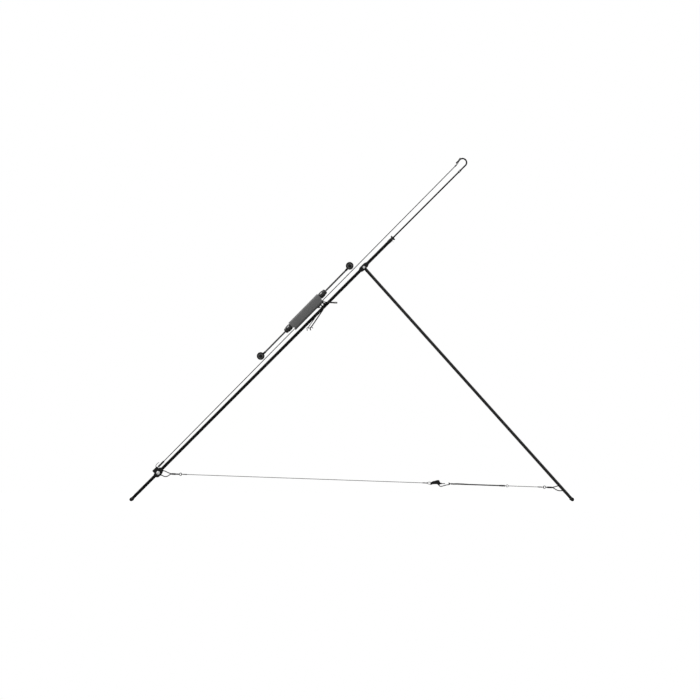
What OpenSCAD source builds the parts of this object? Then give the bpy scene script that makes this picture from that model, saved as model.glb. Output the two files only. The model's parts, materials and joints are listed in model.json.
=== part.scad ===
// Tip-up rig: a raked telescopic mast and a folding leg stand on cross feet, held by a wire stay.
// A guide line runs from a clamp low on the mast to the crook at its tip. A weighted shuttle with
// a guide wheel at each end and a sprung line trigger slides on it.
// Millimetres, +Z up, ground at Z = 0, mast plane at Y = 0, leg towards +X, near side towards -Y.

/* [Stand] */
// Rake of the mast above the ground, degrees
mast_angle = 45; // [38:1:52]
// Distance from the foot bar axis up the mast to the leg hinge
hinge_along = 656; // [500:1:800]
// Length of the mast tube above the leg hinge
mast_above = 76; // [40:1:140]
// Length of the leg from the hinge axis to its foot bar axis
leg_length = 623; // [520:1:760]
// Outside diameter of the mast and leg tubes
tube_d = 6.2; // [5.6:0.1:9]
// Bore of the mast, leg and foot tubes
tube_bore = 4.4; // [4:0.1:5]
// Half width of each foot bar
foot_half = 90; // [60:1:140]
// Outside diameter of the foot bars
foot_bar_d = 5.2; // [4.4:0.1:6]
// Diameter of the rubber foot caps
foot_cap_d = 7.6; // [7:0.1:12]
// Length of each rubber foot cap
foot_cap_l = 14; // [8:1:24]

/* [Tip rod] */
// Diameter of the sliding tip rod
rod_d = 3; // [2.4:0.1:3.6]
// Length of the rod that shows above the mast tube
rod_out = 195; // [120:1:260]
// Length of the rod inside the mast tube
rod_in = 92; // [60:1:140]
// Diameter of the crook wire
hook_d = 3; // [2.4:0.1:4]
// Centreline radius of the crook
hook_r = 8; // [6:0.5:12]
// Straight wire below the crook
hook_neck = 16.6; // [10:0.1:24]
// Straight return arm of the crook
hook_arm = 9.4; // [6:0.1:16]

/* [Guide line] */
// Diameter of the guide line
line_d = 1.8; // [1:0.1:2.4]
// Distance up the mast to the line anchor
anchor_along = 74; // [50:1:120]
// Gap between the line's axis and the mast tube at the anchor
line_gap = 4.9; // [4:0.1:9]
// Distance below the crook's return arm at which the line meets its eye
line_drop = 2.6; // [2:0.1:4]

/* [Shuttle] */
// Distance of the shuttle's middle down the mast from the leg hinge
shuttle_below = 144.8; // [140:0.1:240]
// Length of the shuttle body
body_l = 82; // [60:1:100]
// Width of the shuttle body
body_w = 15; // [13:0.5:20]
// Depth of the body below the line
body_drop = 3.4; // [2.8:0.1:4]
// Height of the body above its carrier rod
body_over = 7.9; // [4.8:0.1:9]
// Diameter of the carrier rod
carrier_d = 3.4; // [3:0.1:4]
// Distance of each wheel axle from the shuttle's middle
wheel_reach = 126.7; // [90:0.1:150]
// Diameter of the wheel flanges
wheel_d = 15.8; // [12:0.1:16]
// Gap between the wheels' rims and the line
wheel_gap = 1.3; // [0.4:0.1:2]
// Height of the wheel axles above the carrier rod's axis
axle_up = 0.9; // [0:0.1:1.4]
// Width of the wheels
wheel_w = 5.2; // [4:0.1:6]
// Diameter of the end knobs
knob_d = 12.8; // [9:0.1:14]
// Length of the end knobs
knob_l = 16.6; // [12:0.1:20]

/* [Stay] */
// Diameter of the stay wire
stay_d = 1; // [0.8:0.1:1.6]
// Diameter of the stay cord
cord_d = 2.6; // [1.6:0.1:3]
// Diameter of the stay crimps
crimp_d = 3.4; // [2.8:0.1:4]
// Distance of the mast end ring up the mast from the line anchor
stay_mast_up = 30; // [26:1:50]
// Distance of the mast end ring below the mast axis
stay_mast_out = 34; // [26:1:44]
// Distance of the leg end ring up the leg from the foot bar axis
stay_leg_up = 54; // [46:1:90]
// Distance of the leg end ring inside the leg axis
stay_leg_out = 24.8; // [18:0.1:34]
// Distance from the leg end ring back to the clip's loop
stay_leg_part = 190; // [140:1:260]

/* [Hidden] */

$fn = 48;
eps = 0.01;
// Clearance of a fixed fit and of a running fit, on the radius
snug = 0.03;
run = 0.05;

tube_r = tube_d / 2;
bore_r = tube_bore / 2;
rod_r = rod_d / 2;
hook_wire_r = hook_d / 2;
line_r = line_d / 2;
cap_r = foot_cap_d / 2;
hub_r = cap_r - 0.2;
bar_r = foot_bar_d / 2;
hub_w = 14;
hub_neck = hub_r + 0.8;
spigot_l = 13;
mast_length = hinge_along + mast_above;

// The leg leans back so that both foot bars stand on the ground
leg_angle = asin(hinge_along * sin(mast_angle) / leg_length);
spread = hinge_along * cos(mast_angle) + leg_length * cos(leg_angle);
foot_at = [-spread / 2, 0, cap_r];
hinge_at = foot_at + hinge_along * [cos(mast_angle), 0, sin(mast_angle)];

// Hinge stack, outwards from the mast on the far side
bracket_near = 2.1;
bracket_far = 3;
washer_t = 0.6;
leg_y = tube_r + bracket_far + washer_t + tube_r;
hinge_shank_r = 2;
bracket_half_l = 12.5;
bracket_half_h = tube_r + 2.1;
bracket_off = -0.6;

// Guide line, from the anchor block to its eye under the crook's return arm
line_low = tube_r + line_gap;
block_half = 7.4;
block_end = anchor_along + block_half;
hook_base = mast_length + rod_out;
hook_bend = hook_base + hook_neck;
line_top_s = hook_bend - 11.6;
line_top_n = 2 * hook_r - line_drop;
line_run = line_top_s - block_end;
line_tilt = atan((line_top_n - line_low) / line_run);
line_l = line_run / cos(line_tilt);
line_tail = 8;
line_crimp_l = 4.4;
line_crimp_back = 0.6;
sleeve_r = 1.7;

// Shuttle
body_top_r = 3.5;
body_low_r = 5.5;
shuttle_along = (hinge_along - shuttle_below - block_end) / cos(line_tilt);
line_bore_r = line_r + 0.6;
carrier_r = carrier_d / 2;
carrier_half = wheel_reach - wheel_d / 2 - 0.6;
carrier_fit_r = carrier_r + snug;
wheel_r = wheel_d / 2;
carrier_rise = line_r + wheel_gap + wheel_r - axle_up;
body_rise = carrier_rise + body_over;
axle_r = 1.5;
axle_gap = 0.4;
arm_y = wheel_w / 2 + axle_gap;
arm_t = 2;
ballast_r = carrier_r + 2;
ballast_l = body_l - 20;
shell_screw_in = 6;
shell_screw_v = carrier_rise - 4.6;
shell_screw_r = 0.9;
shell_head_r = 1.7;

// Trigger, in the shuttle's own frame: along the line from its middle, and above the line
cheek_y = tube_r + 1.1;
cheek_t = 1.2;
pin_r = 0.9;
pin_u = body_l / 2 - 1.9;
pin_v = -body_drop - 1.5;
lever_y = cheek_y + cheek_t + 0.3;
lever_t = 1.6;
plate_t = 0.6;

// Stay
crimp_r = crimp_d / 2;
wire_r = stay_d / 2;
stay_ring_r = 2.5;
stay_ring_wire = 0.7;
link_r = 1.6;
link_wire = 0.5;
thin_crimp_r = 1.1;
loop_wire_r = 0.6;
stay_mast_along = anchor_along + stay_mast_up;
stay_leg_along = leg_length - stay_leg_up;
stay_a = foot_at + stay_mast_along * [cos(mast_angle), 0, sin(mast_angle)]
    + stay_mast_out * [sin(mast_angle), 0, -cos(mast_angle)];
stay_b = hinge_at + stay_leg_along * [cos(leg_angle), 0, -sin(leg_angle)]
    - stay_leg_out * [sin(leg_angle), 0, cos(leg_angle)];
stay_l = norm(stay_b - stay_a);
stay_drop = atan2(stay_a[2] - stay_b[2], stay_b[0] - stay_a[0]);
snap_bend = stay_l - stay_leg_part;
clip_l = 22;
clip_end = snap_bend - 16.5;
clip_w = 5;

// Colours
black = [0.07, 0.07, 0.075];
soft_black = [0.13, 0.13, 0.14];
rubber = [0.09, 0.09, 0.09];
grey = [0.41, 0.41, 0.41];
steel = [0.75, 0.76, 0.77];
wire_grey = [0.55, 0.56, 0.57];
line_grey = [0.22, 0.22, 0.23];

// Frames
module on_mast(s = 0, n = 0, y = 0) {
    translate(foot_at)
        rotate([0, -mast_angle, 0])
            translate([s, y, n])
                children();
}

module on_leg(r = 0, q = 0, y = 0) {
    translate(hinge_at)
        rotate([0, leg_angle, 0])
            translate([r, leg_y + y, q])
                children();
}

module on_line(u = 0, v = 0) {
    on_mast(block_end, line_low)
        rotate([0, -line_tilt, 0])
            translate([u, 0, v])
                children();
}

module on_shuttle(u = 0, v = 0, y = 0) {
    on_line(shuttle_along, 0)
        translate([u, y, v])
            children();
}

module on_stay(d = 0) {
    translate(stay_a)
        rotate([0, stay_drop, 0])
            translate([d, 0, 0])
                children();
}

// A round bar along X, from x0 to x1
module bar_x(x0, x1, r) {
    translate([x0, 0, 0])
        rotate([0, 90, 0])
            cylinder(h = x1 - x0, r = r);
}

// A round bar along Y, from y0 to y1
module bar_y(y0, y1, r) {
    translate([0, y0, 0])
        rotate([-90, 0, 0])
            cylinder(h = y1 - y0, r = r);
}

// A tapered round bar along X
module cone_x(x0, x1, r0, r1) {
    translate([x0, 0, 0])
        rotate([0, 90, 0])
            cylinder(h = x1 - x0, r1 = r0, r2 = r1);
}

// An outline in the X-Z plane given thickness from y0 to y1
module plate_xz(y0, y1, points) {
    translate([0, y1, 0])
        rotate([90, 0, 0])
            linear_extrude(height = y1 - y0)
                polygon(points);
}

// Points of a bent path with its corners cut twice, so that it bends smoothly
function eased(p, times = 2) = times == 0 ? p : eased(
    concat([p[0]],
        [for (i = [0 : len(p) - 2], f = [0.25, 0.75])
            if ((i > 0 || f > 0.5) && (i < len(p) - 2 || f < 0.5)) p[i] + f * (p[i + 1] - p[i])],
        [p[len(p) - 1]]),
    times - 1);

function unit(v) = v / norm(v);

function heading(p, i) = unit(p[min(i + 1, len(p) - 1)] - p[max(i - 1, 0)]);

// A side direction at each point, carried along the path without twisting
function sides_of(p, i, last) = i == len(p) ? [] :
    let (t = heading(p, i), side = unit(last - (last * t) * t))
        concat([side], sides_of(p, i + 1, side));

// A wire swept along a path as one closed tube
module wire(p, r, corners = 8) {
    first = heading(p, 0);
    start = abs(first[1]) < 0.9 ? [0, 1, 0] : [0, 0, 1];
    side = sides_of(p, 0, start);
    n = len(p);
    rings = [for (i = [0 : n - 1], k = [0 : corners - 1])
        let (t = heading(p, i), a = 360 * k / corners)
            p[i] + r * (cos(a) * side[i] + sin(a) * cross(t, side[i]))];
    walls = [for (i = [0 : n - 2], k = [0 : corners - 1], half = [0, 1])
        let (a = i * corners + k, b = i * corners + (k + 1) % corners)
            half == 0 ? [a, a + corners, b] : [b, a + corners, b + corners]];
    ends = [[for (k = [0 : corners - 1]) k], [for (k = [corners - 1 : -1 : 0]) (n - 1) * corners + k]];
    polyhedron(points = rings, faces = concat(walls, ends), convexity = 8);
}

// A round ring lying in the X-Z plane
module ring_xz(r, wire_radius) {
    rotate([90, 0, 0])
        rotate_extrude()
            translate([r, 0])
                circle(r = wire_radius, $fn = 24);
}

// A round ring lying in the X-Y plane
module ring_xy(r, wire_radius) {
    rotate_extrude()
        translate([r, 0])
            circle(r = wire_radius, $fn = 24);
}

// A flat link in the X-Z plane between two points, with round ends
module flat_link(a, b, half_a, half_b, y0, y1) {
    d = b - a;
    slope = atan2(d[1], d[0]);
    translate([a[0], 0, a[1]])
        bar_y(y0, y1, half_a);
    translate([b[0], 0, b[1]])
        bar_y(y0, y1, half_b);
    translate([a[0], 0, a[1]])
        rotate([0, -slope, 0])
            plate_xz(y0, y1, [[0, -half_a], [norm(d), -half_b], [norm(d), half_b], [0, half_a]]);
}

// The mitred offset of point i of a flat path
function mitre(p, i, half) =
    let (a = unit(p[max(i, 1)] - p[max(i, 1) - 1]),
        b = unit(p[min(i + 1, len(p) - 1)] - p[min(i, len(p) - 2)]))
    let (m = unit([-a[1] - b[1], a[0] + b[0]]))
        half / (m * [-a[1], a[0]]) * m;

// A flat strip of even width that follows a path in the X-Z plane
module strip(p, half, y0, y1) {
    n = len(p);
    plate_xz(y0, y1, concat(
        [for (i = [0 : n - 1]) p[i] - mitre(p, i, half)],
        [for (i = [n - 1 : -1 : 0]) p[i] + mitre(p, i, half)]));
}

// A cross foot hub: a sleeve on the foot bar with a neck and a spigot into the tube
module foot_hub() {
    difference() {
        union() {
            bar_y(-hub_w / 2, hub_w / 2, hub_r);
            bar_x(0, hub_neck, tube_r);
            bar_x(hub_neck, hub_neck + spigot_l, bore_r - snug);
        }
        bar_y(-hub_w, hub_w, bar_r + snug);
    }
}

module foot_bar() {
    difference() {
        bar_y(-foot_half, foot_half, bar_r);
        bar_y(-foot_half - eps, foot_half + eps, bar_r - 0.9);
    }
}

module foot_caps() {
    for (side = [-1, 1])
        scale([1, side, 1])
            difference() {
                union() {
                    bar_y(foot_half - foot_cap_l + 4, foot_half + 3, cap_r);
                    bar_y(foot_half + 3, foot_half + 4, cap_r - 0.8);
                }
                bar_y(foot_half - foot_cap_l, foot_half, bar_r + snug);
            }
}

// Mast
module mast_tube() {
    color(black)
        on_mast()
            difference() {
                bar_x(hub_neck, mast_length, tube_r);
                bar_x(0, mast_length + eps, bore_r);
                translate([anchor_along, 0, anchor_off])
                    bar_y(-tube_d, tube_d, axle_r + snug);
            }
}

module mast_foot_hub() {
    color(soft_black)
        on_mast()
            foot_hub();
}

module mast_foot_bar() {
    color(black)
        on_mast()
            foot_bar();
}

module mast_foot_caps() {
    color(rubber)
        on_mast()
            foot_caps();
}

// Line anchor: a clamp on the mast with a raised block that holds the line
clamp_low = tube_r + 4.1;
clamp_half_w = tube_r + 2.1;
anchor_off = -0.4;
module anchor_clamp() {
    color(soft_black)
        on_mast(anchor_along)
            difference() {
                plate_xz(-clamp_half_w, clamp_half_w, [
                    [-10.4, -tube_r + 0.6], [-8.4, -tube_r - 1.2], [-6.2, -clamp_low + 0.6], [-3, -clamp_low],
                    [4, -clamp_low], [8, -clamp_low + 1.4], [11.6, -tube_r - 0.6], [11.6, tube_r + 0.6],
                    [8.8, tube_r + 2.6], [block_half, line_low - 1.6], [block_half, line_low + 2.4],
                    [block_half - 1, line_low + 3], [-4.6, line_low + 3], [-5.6, line_low + 2.4],
                    [-5.6, tube_r + 1.6], [-8.4, tube_r + 0.6], [-10.4, tube_r - 0.6]]);
                bar_x(-14, 13, tube_r + snug);
                translate([block_half, 0, line_low])
                    rotate([0, -line_tilt, 0])
                        bar_x(-line_tail, 1, line_r + snug);
                translate([0, 0, anchor_off])
                    bar_y(-body_w, body_w, axle_r + snug);
            }
}

// A cap screw right through the clamp and the tube
anchor_nut_y = clamp_half_w + 2;
module anchor_screw() {
    color(steel)
        on_mast(anchor_along, anchor_off)
            difference() {
                union() {
                    bar_y(-clamp_half_w - eps, anchor_nut_y + 2.6, axle_r);
                    bar_y(-clamp_half_w - 1.4, -clamp_half_w, 3.7);
                    bar_y(-clamp_half_w - 2.2, -clamp_half_w - 1.4 + eps, 3);
                }
                translate([0, -clamp_half_w - 2.2, 0])
                    rotate([90, 0, 0])
                        cylinder(h = 2.4, r = 1.3, center = true, $fn = 6);
            }
}

module anchor_nut() {
    color(steel)
        on_mast(anchor_along, anchor_off)
            difference() {
                translate([0, anchor_nut_y + 2, 0])
                    rotate([90, 0, 0])
                        cylinder(h = 2, r = 3.2, $fn = 6);
                bar_y(0, anchor_nut_y + 3, axle_r + snug);
            }
}

module line_sleeve() {
    color(black)
        on_line()
            difference() {
                union() {
                    bar_x(1.6, 17.6, sleeve_r);
                    bar_x(5, 8, sleeve_r + 0.2);
                    bar_x(11, 14, sleeve_r + 0.2);
                }
                bar_x(0, 20, line_r + snug);
            }
}

module line_tag() {
    color(wire_grey)
        on_mast(anchor_along, line_low)
            wire(eased([[5.8, 0, 3], [5.8, 0, 4.4], [8.2, 0, 5.7], [11.6, 0, 6.1], [16.6, 0, 5.4]]), 0.45);
}

module guide_line() {
    color(line_grey)
        on_line()
            bar_x(-line_tail, line_l - line_crimp_back - line_crimp_l / 2, line_r);
}

// Hinge bracket: a pointed block clamped on the mast, with the leg on its far side
module hinge_bracket() {
    tip_h = tube_r - 0.4;
    color(soft_black)
        on_mast(hinge_along)
            difference() {
                plate_xz(-tube_r - bracket_near, tube_r + bracket_far, [
                    [-bracket_half_l, -tip_h], [-6.5, -bracket_half_h], [6, -bracket_half_h],
                    [bracket_half_l, -tip_h], [bracket_half_l, tip_h], [6, bracket_half_h],
                    [-6.5, bracket_half_h], [-bracket_half_l, tip_h]]);
                bar_x(-bracket_half_l - 1, bracket_half_l + 1, tube_r + snug);
                translate([0, 0, bracket_off])
                    bar_y(-tube_r - bracket_near - eps, -tube_r - 0.2, 1.2 + snug);
                bar_y(tube_r + 0.3, tube_r + bracket_far + eps, hinge_shank_r + snug);
            }
}

module bracket_screw() {
    face = -tube_r - bracket_near;
    color(steel)
        on_mast(hinge_along, bracket_off)
            union() {
                bar_y(face, -tube_r - 0.3, 1.2);
                difference() {
                    union() {
                        bar_y(face - 1, face, 2.5);
                        bar_y(face - 1.6, face - 1, 1.9);
                    }
                    translate([0, face - 1.6, 0])
                        rotate([90, 0, 0])
                            cylinder(h = 1.6, r = 0.9, center = true, $fn = 6);
                }
            }
}

module hinge_screw() {
    root_y = tube_r + 0.4;
    head_y = leg_y + tube_r + 0.2;
    color(steel)
        on_mast(hinge_along)
            difference() {
                union() {
                    bar_y(root_y, head_y + eps, hinge_shank_r);
                    bar_y(head_y, head_y + 2, 3.8);
                    bar_y(head_y + 2, head_y + 2.6, 3.1);
                }
                translate([0, head_y + 2.6, 0])
                    rotate([90, 0, 0])
                        cylinder(h = 2.8, r = 1.5, center = true, $fn = 6);
            }
}

module hinge_washer() {
    color(steel)
        on_mast(hinge_along)
            difference() {
                bar_y(tube_r + bracket_far, tube_r + bracket_far + washer_t, 5);
                bar_y(tube_r, leg_y, hinge_shank_r + snug);
            }
}

// Rod lock: a collar on the mast tube, its grip pin and a wing nut
collar_r = tube_r + 0.4;
collar_top = mast_length + 2.6;
pin_at = mast_length + 1.3;
module lock_collar() {
    color(soft_black)
        on_mast()
            difference() {
                union() {
                    bar_x(mast_length - 6, collar_top, collar_r);
                    cone_x(mast_length - 7, mast_length - 6, tube_r + 0.2, collar_r);
                }
                bar_x(mast_length - 11, mast_length, tube_r + snug);
                bar_x(mast_length - eps, collar_top + eps, rod_r + run);
                translate([pin_at, 0, -rod_r - 0.6])
                    rotate([180, 0, 0])
                        cylinder(h = collar_r, r = 0.5 + snug);
            }
}

module collar_pin() {
    color(wire_grey)
        on_mast(pin_at, -rod_r - 0.6)
            rotate([180, 0, 0])
                union() {
                    cylinder(h = 4.2, r = 0.5);
                    translate([0, 0, 4.2])
                        sphere(r = 0.5, $fn = 24);
                }
}

module lock_nut() {
    nut_r = tube_r;
    color(black)
        on_mast(collar_top + 0.3)
            difference() {
                union() {
                    cone_x(0, 2, nut_r, nut_r);
                    cone_x(2, 5.6, nut_r, nut_r - 0.8);
                    for (side = [0, 180])
                        rotate([side, 0, 0])
                            plate_xz(-0.9, 0.9, [[0.2, nut_r - 1], [2.2, nut_r + 1.6], [3.4, nut_r + 2.4],
                                [4.8, nut_r + 2.2], [5, nut_r + 1], [4.4, nut_r - 1]]);
                }
                bar_x(-1, 7, rod_r + 0.15);
            }
}

// Tip rod, its crook and the upper end of the line
module tip_rod() {
    color(black)
        on_mast(mast_length)
            bar_x(-rod_in, rod_out, rod_r);
}

module rod_glide() {
    color(soft_black)
        on_mast(mast_length - rod_in)
            difference() {
                bar_x(0, 12, bore_r - run);
                bar_x(-1, 13, rod_r + snug);
            }
}

module rod_ferrule() {
    ferrule_r = hook_wire_r + 0.6;
    color(black)
        on_mast(hook_base)
            difference() {
                bar_x(-3, 3.2, ferrule_r);
                bar_x(-4, 0, rod_r + snug);
                bar_x(-eps, 4, hook_wire_r + snug);
                difference() {
                    bar_x(-1.2, 1.4, ferrule_r + 1);
                    bar_x(-2, 2, hook_wire_r + 0.3);
                }
            }
}

module ferrule_band() {
    color(steel)
        on_mast(hook_base)
            difference() {
                bar_x(-1.2, 1.4, hook_wire_r + 0.5);
                bar_x(-2, 2, hook_wire_r + 0.3);
            }
}

module tip_crook() {
    color(black)
        on_mast(hook_base)
            union() {
                bar_x(0, hook_neck, hook_wire_r);
                translate([hook_neck, 0, hook_r])
                    rotate([90, 0, 0])
                        rotate([0, 0, -90])
                            rotate_extrude(angle = 180)
                                translate([hook_r, 0])
                                    circle(r = hook_wire_r, $fn = 32);
                translate([0, 0, 2 * hook_r])
                    bar_x(hook_neck - hook_arm + 2, hook_neck, hook_wire_r);
            }
}

module crook_bead() {
    color(black)
        on_mast(hook_bend - hook_arm, 2 * hook_r)
            union() {
                bar_x(0.4, 2, hook_wire_r + 0.35);
                cone_x(-0.8, 0.4, hook_wire_r - 0.5, hook_wire_r + 0.35);
            }
}

module line_crimp() {
    color(black)
        on_line(line_l - line_crimp_l - line_crimp_back)
            difference() {
                union() {
                    bar_x(0, line_crimp_l, 1.25);
                    bar_x(1.4, 2.6, 1.4);
                }
                bar_x(-1, line_crimp_l / 2, line_r + snug);
            }
}

// A wire loop that goes round the crook: two straight sides and two round ends
eye_wire_r = 0.55;
eye_r = 2.9;
eye_lean = 20;
eye_rise = 16.5;
eye_l = 15.5;
module line_eye() {
    eye_from = eye_r;
    eye_to = eye_l - eye_r;
    color(wire_grey)
        on_mast(line_top_s, line_top_n)
            rotate([0, -eye_rise, 0])
                rotate([eye_lean, 0, 0])
                    union() {
                        for (side = [-1, 1])
                            translate([0, side * eye_r, 0])
                                bar_x(eye_from, eye_to, eye_wire_r);
                        translate([eye_to, 0, 0])
                            rotate([0, 0, -90])
                                rotate_extrude(angle = 180)
                                    translate([eye_r, 0])
                                        circle(r = eye_wire_r, $fn = 24);
                        translate([eye_from, 0, 0])
                            rotate([0, 0, 90])
                                rotate_extrude(angle = 180)
                                    translate([eye_r, 0])
                                        circle(r = eye_wire_r, $fn = 24);
                    }
}

// Leg
leg_neck = bracket_half_h + 1.6;
loop_holes = [stay_leg_along + 16, stay_leg_along + 28.4];
loop_side = 45;
module leg_tube() {
    color(black)
        on_leg()
            difference() {
                bar_x(leg_neck, leg_length - hub_neck, tube_r);
                bar_x(0, leg_length, bore_r);
                for (r = loop_holes)
                    translate([r, 0, 0])
                        rotate([loop_side, 0, 0])
                            bar_y(-tube_d, 0, loop_wire_r + 0.15);
            }
}

module leg_eye() {
    color(soft_black)
        on_leg()
            difference() {
                union() {
                    bar_y(-tube_r, tube_r, bracket_half_h);
                    bar_x(0, leg_neck, tube_r);
                    bar_x(leg_neck, leg_neck + spigot_l, bore_r - snug);
                }
                bar_y(-tube_r - 1, tube_r + 1, hinge_shank_r + run);
            }
}

module leg_foot_hub() {
    color(soft_black)
        on_leg(leg_length)
            rotate([0, 180, 0])
                foot_hub();
}

module leg_foot_bar() {
    color(black)
        on_leg(leg_length, 0, -leg_y)
            foot_bar();
}

module leg_foot_caps() {
    color(rubber)
        on_leg(leg_length, 0, -leg_y)
            foot_caps();
}

// Stay, leg end: a wire loop through two holes in the leg, a crimp and the ring the lead hangs on
crimp_start = stay_ring_r + stay_ring_wire + 2.6;
crimp_stop = crimp_start + 11;
leg_turn = leg_angle - stay_drop;
// Half the spacing of a loop's two wires where they enter its crimp
loop_half = 0.66;

// A point beside the leg crimp's axis, in the leg's frame
function leg_crimp_at(d, up) = [stay_leg_along + d * cos(leg_turn) - up * sin(leg_turn), -leg_y,
    -stay_leg_out + d * sin(leg_turn) + up * cos(leg_turn)];

module stay_leg_loop() {
    out = 3.6;
    wall = 1.4;
    in = 0.4;
    first = loop_holes[0];
    last = loop_holes[1];
    color(wire_grey)
        on_leg()
            wire(eased([leg_crimp_at(crimp_stop, loop_half), leg_crimp_at(crimp_stop + 1, loop_half),
                [first - 1.4, -out - 1.6, -out - 2.4], [first, -out, -out], [first, -wall, -wall],
                [first, -in, -in], [last, -in, -in], [last, -wall, -wall], [last, -out, -out],
                [last - 1.6, -out - 1.4, -out - 2.6], [last - 7.6, -leg_y + 1.2, -10.6],
                leg_crimp_at(crimp_stop + 1, -loop_half), leg_crimp_at(crimp_stop, -loop_half)]),
                loop_wire_r);
}

module stay_leg_crimp() {
    color(black)
        on_leg(stay_leg_along, -stay_leg_out, -leg_y)
            rotate([0, -leg_turn, 0])
                union() {
                    ring_xz(stay_ring_r, stay_ring_wire);
                    bar_x(stay_ring_r, crimp_start + eps, 1.1);
                    bar_x(crimp_start, crimp_stop - 3, crimp_r);
                    cone_x(crimp_stop - 3, crimp_stop, crimp_r, crimp_r - 0.4);
                }
}

// Stay, mast end: a slack wire loop round the anchor screw behind the clamp, a crimp and a ring
mast_turn = mast_angle + stay_drop;
mast_crimp_start = 10;
mast_crimp_stop = 19.4;

// A point beside the mast crimp's axis, in the mast's frame
function mast_crimp_at(d, up) = [stay_mast_along - d * cos(mast_turn) + up * sin(mast_turn), 0,
    -stay_mast_out + d * sin(mast_turn) + up * cos(mast_turn)];

module stay_mast_loop() {
    back = clamp_half_w + 1;
    turn = axle_r + loop_wire_r + 0.2;
    color(wire_grey)
        on_mast()
            wire(concat(
                eased([mast_crimp_at(mast_crimp_stop, loop_half),
                    mast_crimp_at(mast_crimp_stop + 1, loop_half), [anchor_along + 14, 1, -12.6],
                    [anchor_along + 12, back, -6], [anchor_along + 5, back, anchor_off + turn + 1.4],
                    [anchor_along, back, anchor_off + turn]]),
                [for (a = [110 : 20 : 170]) [anchor_along + turn * cos(a), back, anchor_off + turn * sin(a)]],
                eased([[anchor_along - turn, back, anchor_off], [anchor_along - 1, back, -6],
                    [anchor_along + 2.6, back - 0.4, -9], [anchor_along + 3, back - 3, -13],
                    [anchor_along + 7, 1.6, -18], mast_crimp_at(mast_crimp_stop + 1, -loop_half),
                    mast_crimp_at(mast_crimp_stop, -loop_half)])), loop_wire_r);
}

module stay_mast_crimp() {
    color(black)
        on_mast(stay_mast_along, -stay_mast_out)
            rotate([0, 180 + mast_turn, 0])
                union() {
                    ring_xz(stay_ring_r, stay_ring_wire);
                    bar_x(stay_ring_r, mast_crimp_start + eps, 1.3);
                    bar_x(mast_crimp_start, mast_crimp_stop - 3, crimp_r);
                    cone_x(mast_crimp_stop - 3, mast_crimp_stop, crimp_r, crimp_r - 0.4);
                }
}

// Stay, long part: a link through the mast ring, wire, crimps, an eye and the clip
link_at = stay_ring_r + link_r - link_wire - stay_ring_wire - 0.15;
near_crimp = link_at + link_r;
eye_at = clip_end - clip_l - 1.4;
far_crimp = eye_at - 14;
module stay_wire() {
    color(steel)
        on_stay()
            union() {
                translate([link_at, 0, 0])
                    ring_xy(link_r, link_wire);
                bar_x(near_crimp, far_crimp + 2, wire_r);
            }
}

module stay_crimps() {
    color(black)
        on_stay()
            difference() {
                union() {
                    bar_x(near_crimp + link_wire, near_crimp + 8.4, thin_crimp_r);
                    bar_x(far_crimp, far_crimp + 9, thin_crimp_r);
                }
                bar_x(near_crimp - 1, far_crimp + 2, wire_r + snug);
            }
}

// An oval wire eye that goes through the clip's low end
module clip_eye() {
    half = 2.2;
    grip = far_crimp + 9 - eye_at;
    color(wire_grey)
        on_stay(eye_at)
            wire(eased([[grip, 0, 0.56], [grip + 1, 0, 0.56], [-2.4, 0, half - 0.3], [0, 0, half],
                [3, 0, half - 0.6], [3.6, 0, 0], [3, 0, -half + 0.6], [0, 0, -half],
                [-2.4, 0, -half + 0.3], [grip + 1, 0, -0.56], [grip, 0, -0.56]]), 0.5);
}

// A curved snap body, hollow below
module clip_body() {
    color(black)
        on_stay(clip_end)
            difference() {
                union() {
                    plate_xz(-clip_w / 2, clip_w / 2, [[-22, -3.2], [-21.6, 0.3], [-19.8, 2.1], [-17.5, 3.9],
                        [-12.2, 5.3], [-7.4, 6.8], [-4.4, 6.6], [-3.2, 4.4], [-2.4, 2.1], [0, 0.9], [0, -0.5],
                        [-2, -1.2], [-3.6, -3.8], [-4.8, -4.9], [-6.6, -2.7], [-9, -1.5], [-17.4, -2.1],
                        [-19.6, -3.4]]);
                    bar_x(-2, 0.8, 1.5);
                }
                translate([eye_at + 3.2 - clip_end, 0, 0])
                    bar_y(-0.8, 0.8, 3);
                bar_x(-2, 2, clip_tail_r + snug);
                translate([-4.4, 0, -3.2])
                    bar_y(-0.85, 0.85, 1.6);
            }
}

// The snap wire: from the body, down and out to an open hook at its far end
module clip_snap() {
    far_bend = snap_bend - clip_end;
    color(black)
        on_stay(clip_end)
            wire(eased([[-4.4, 0, -2.6], [-4, 0, -4.6], [-1.6, 0, -5.9], [1.4, 0, -5.6], [6, 0, -3.8],
                [far_bend - 4, 0, -2], [far_bend - 0.4, 0, -1.7], [far_bend + 0.9, 0, 0.1],
                [far_bend - 0.4, 0, 1.8], [far_bend - 1.8, 0, 1.6]]), 0.65);
}

clip_tail_r = 0.8;
module clip_tail() {
    color(wire_grey)
        on_stay(clip_end)
            bar_x(-1.6, 7.6, clip_tail_r);
}

// Stay, short part: a cord loop in the snap, cord, crimps, a ring, lead wire and the leg link
cord_loop_r = 1.75;
cord_l = 100;
cord_crimp = snap_bend + cord_l;
cord_ring_r = 2.2;
module stay_cord() {
    color(soft_black)
        on_stay(snap_bend)
            union() {
                translate([cord_loop_r - 1.3, 0, 0.1])
                    ring_xy(cord_loop_r, 0.65);
                bar_x(2 * cord_loop_r - 1.5, cord_l + 0.5, cord_d / 2);
            }
}

module cord_crimps() {
    color(black)
        on_stay()
            difference() {
                union() {
                    bar_x(cord_crimp, cord_crimp + 11, crimp_r);
                    bar_x(stay_l - near_crimp - 9.4, stay_l - near_crimp - link_wire, thin_crimp_r);
                }
                bar_x(cord_crimp - 1, cord_crimp + 0.5, cord_d / 2 + snug);
                bar_x(stay_l - near_crimp - 10, stay_l - near_crimp, wire_r + snug);
            }
}

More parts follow.
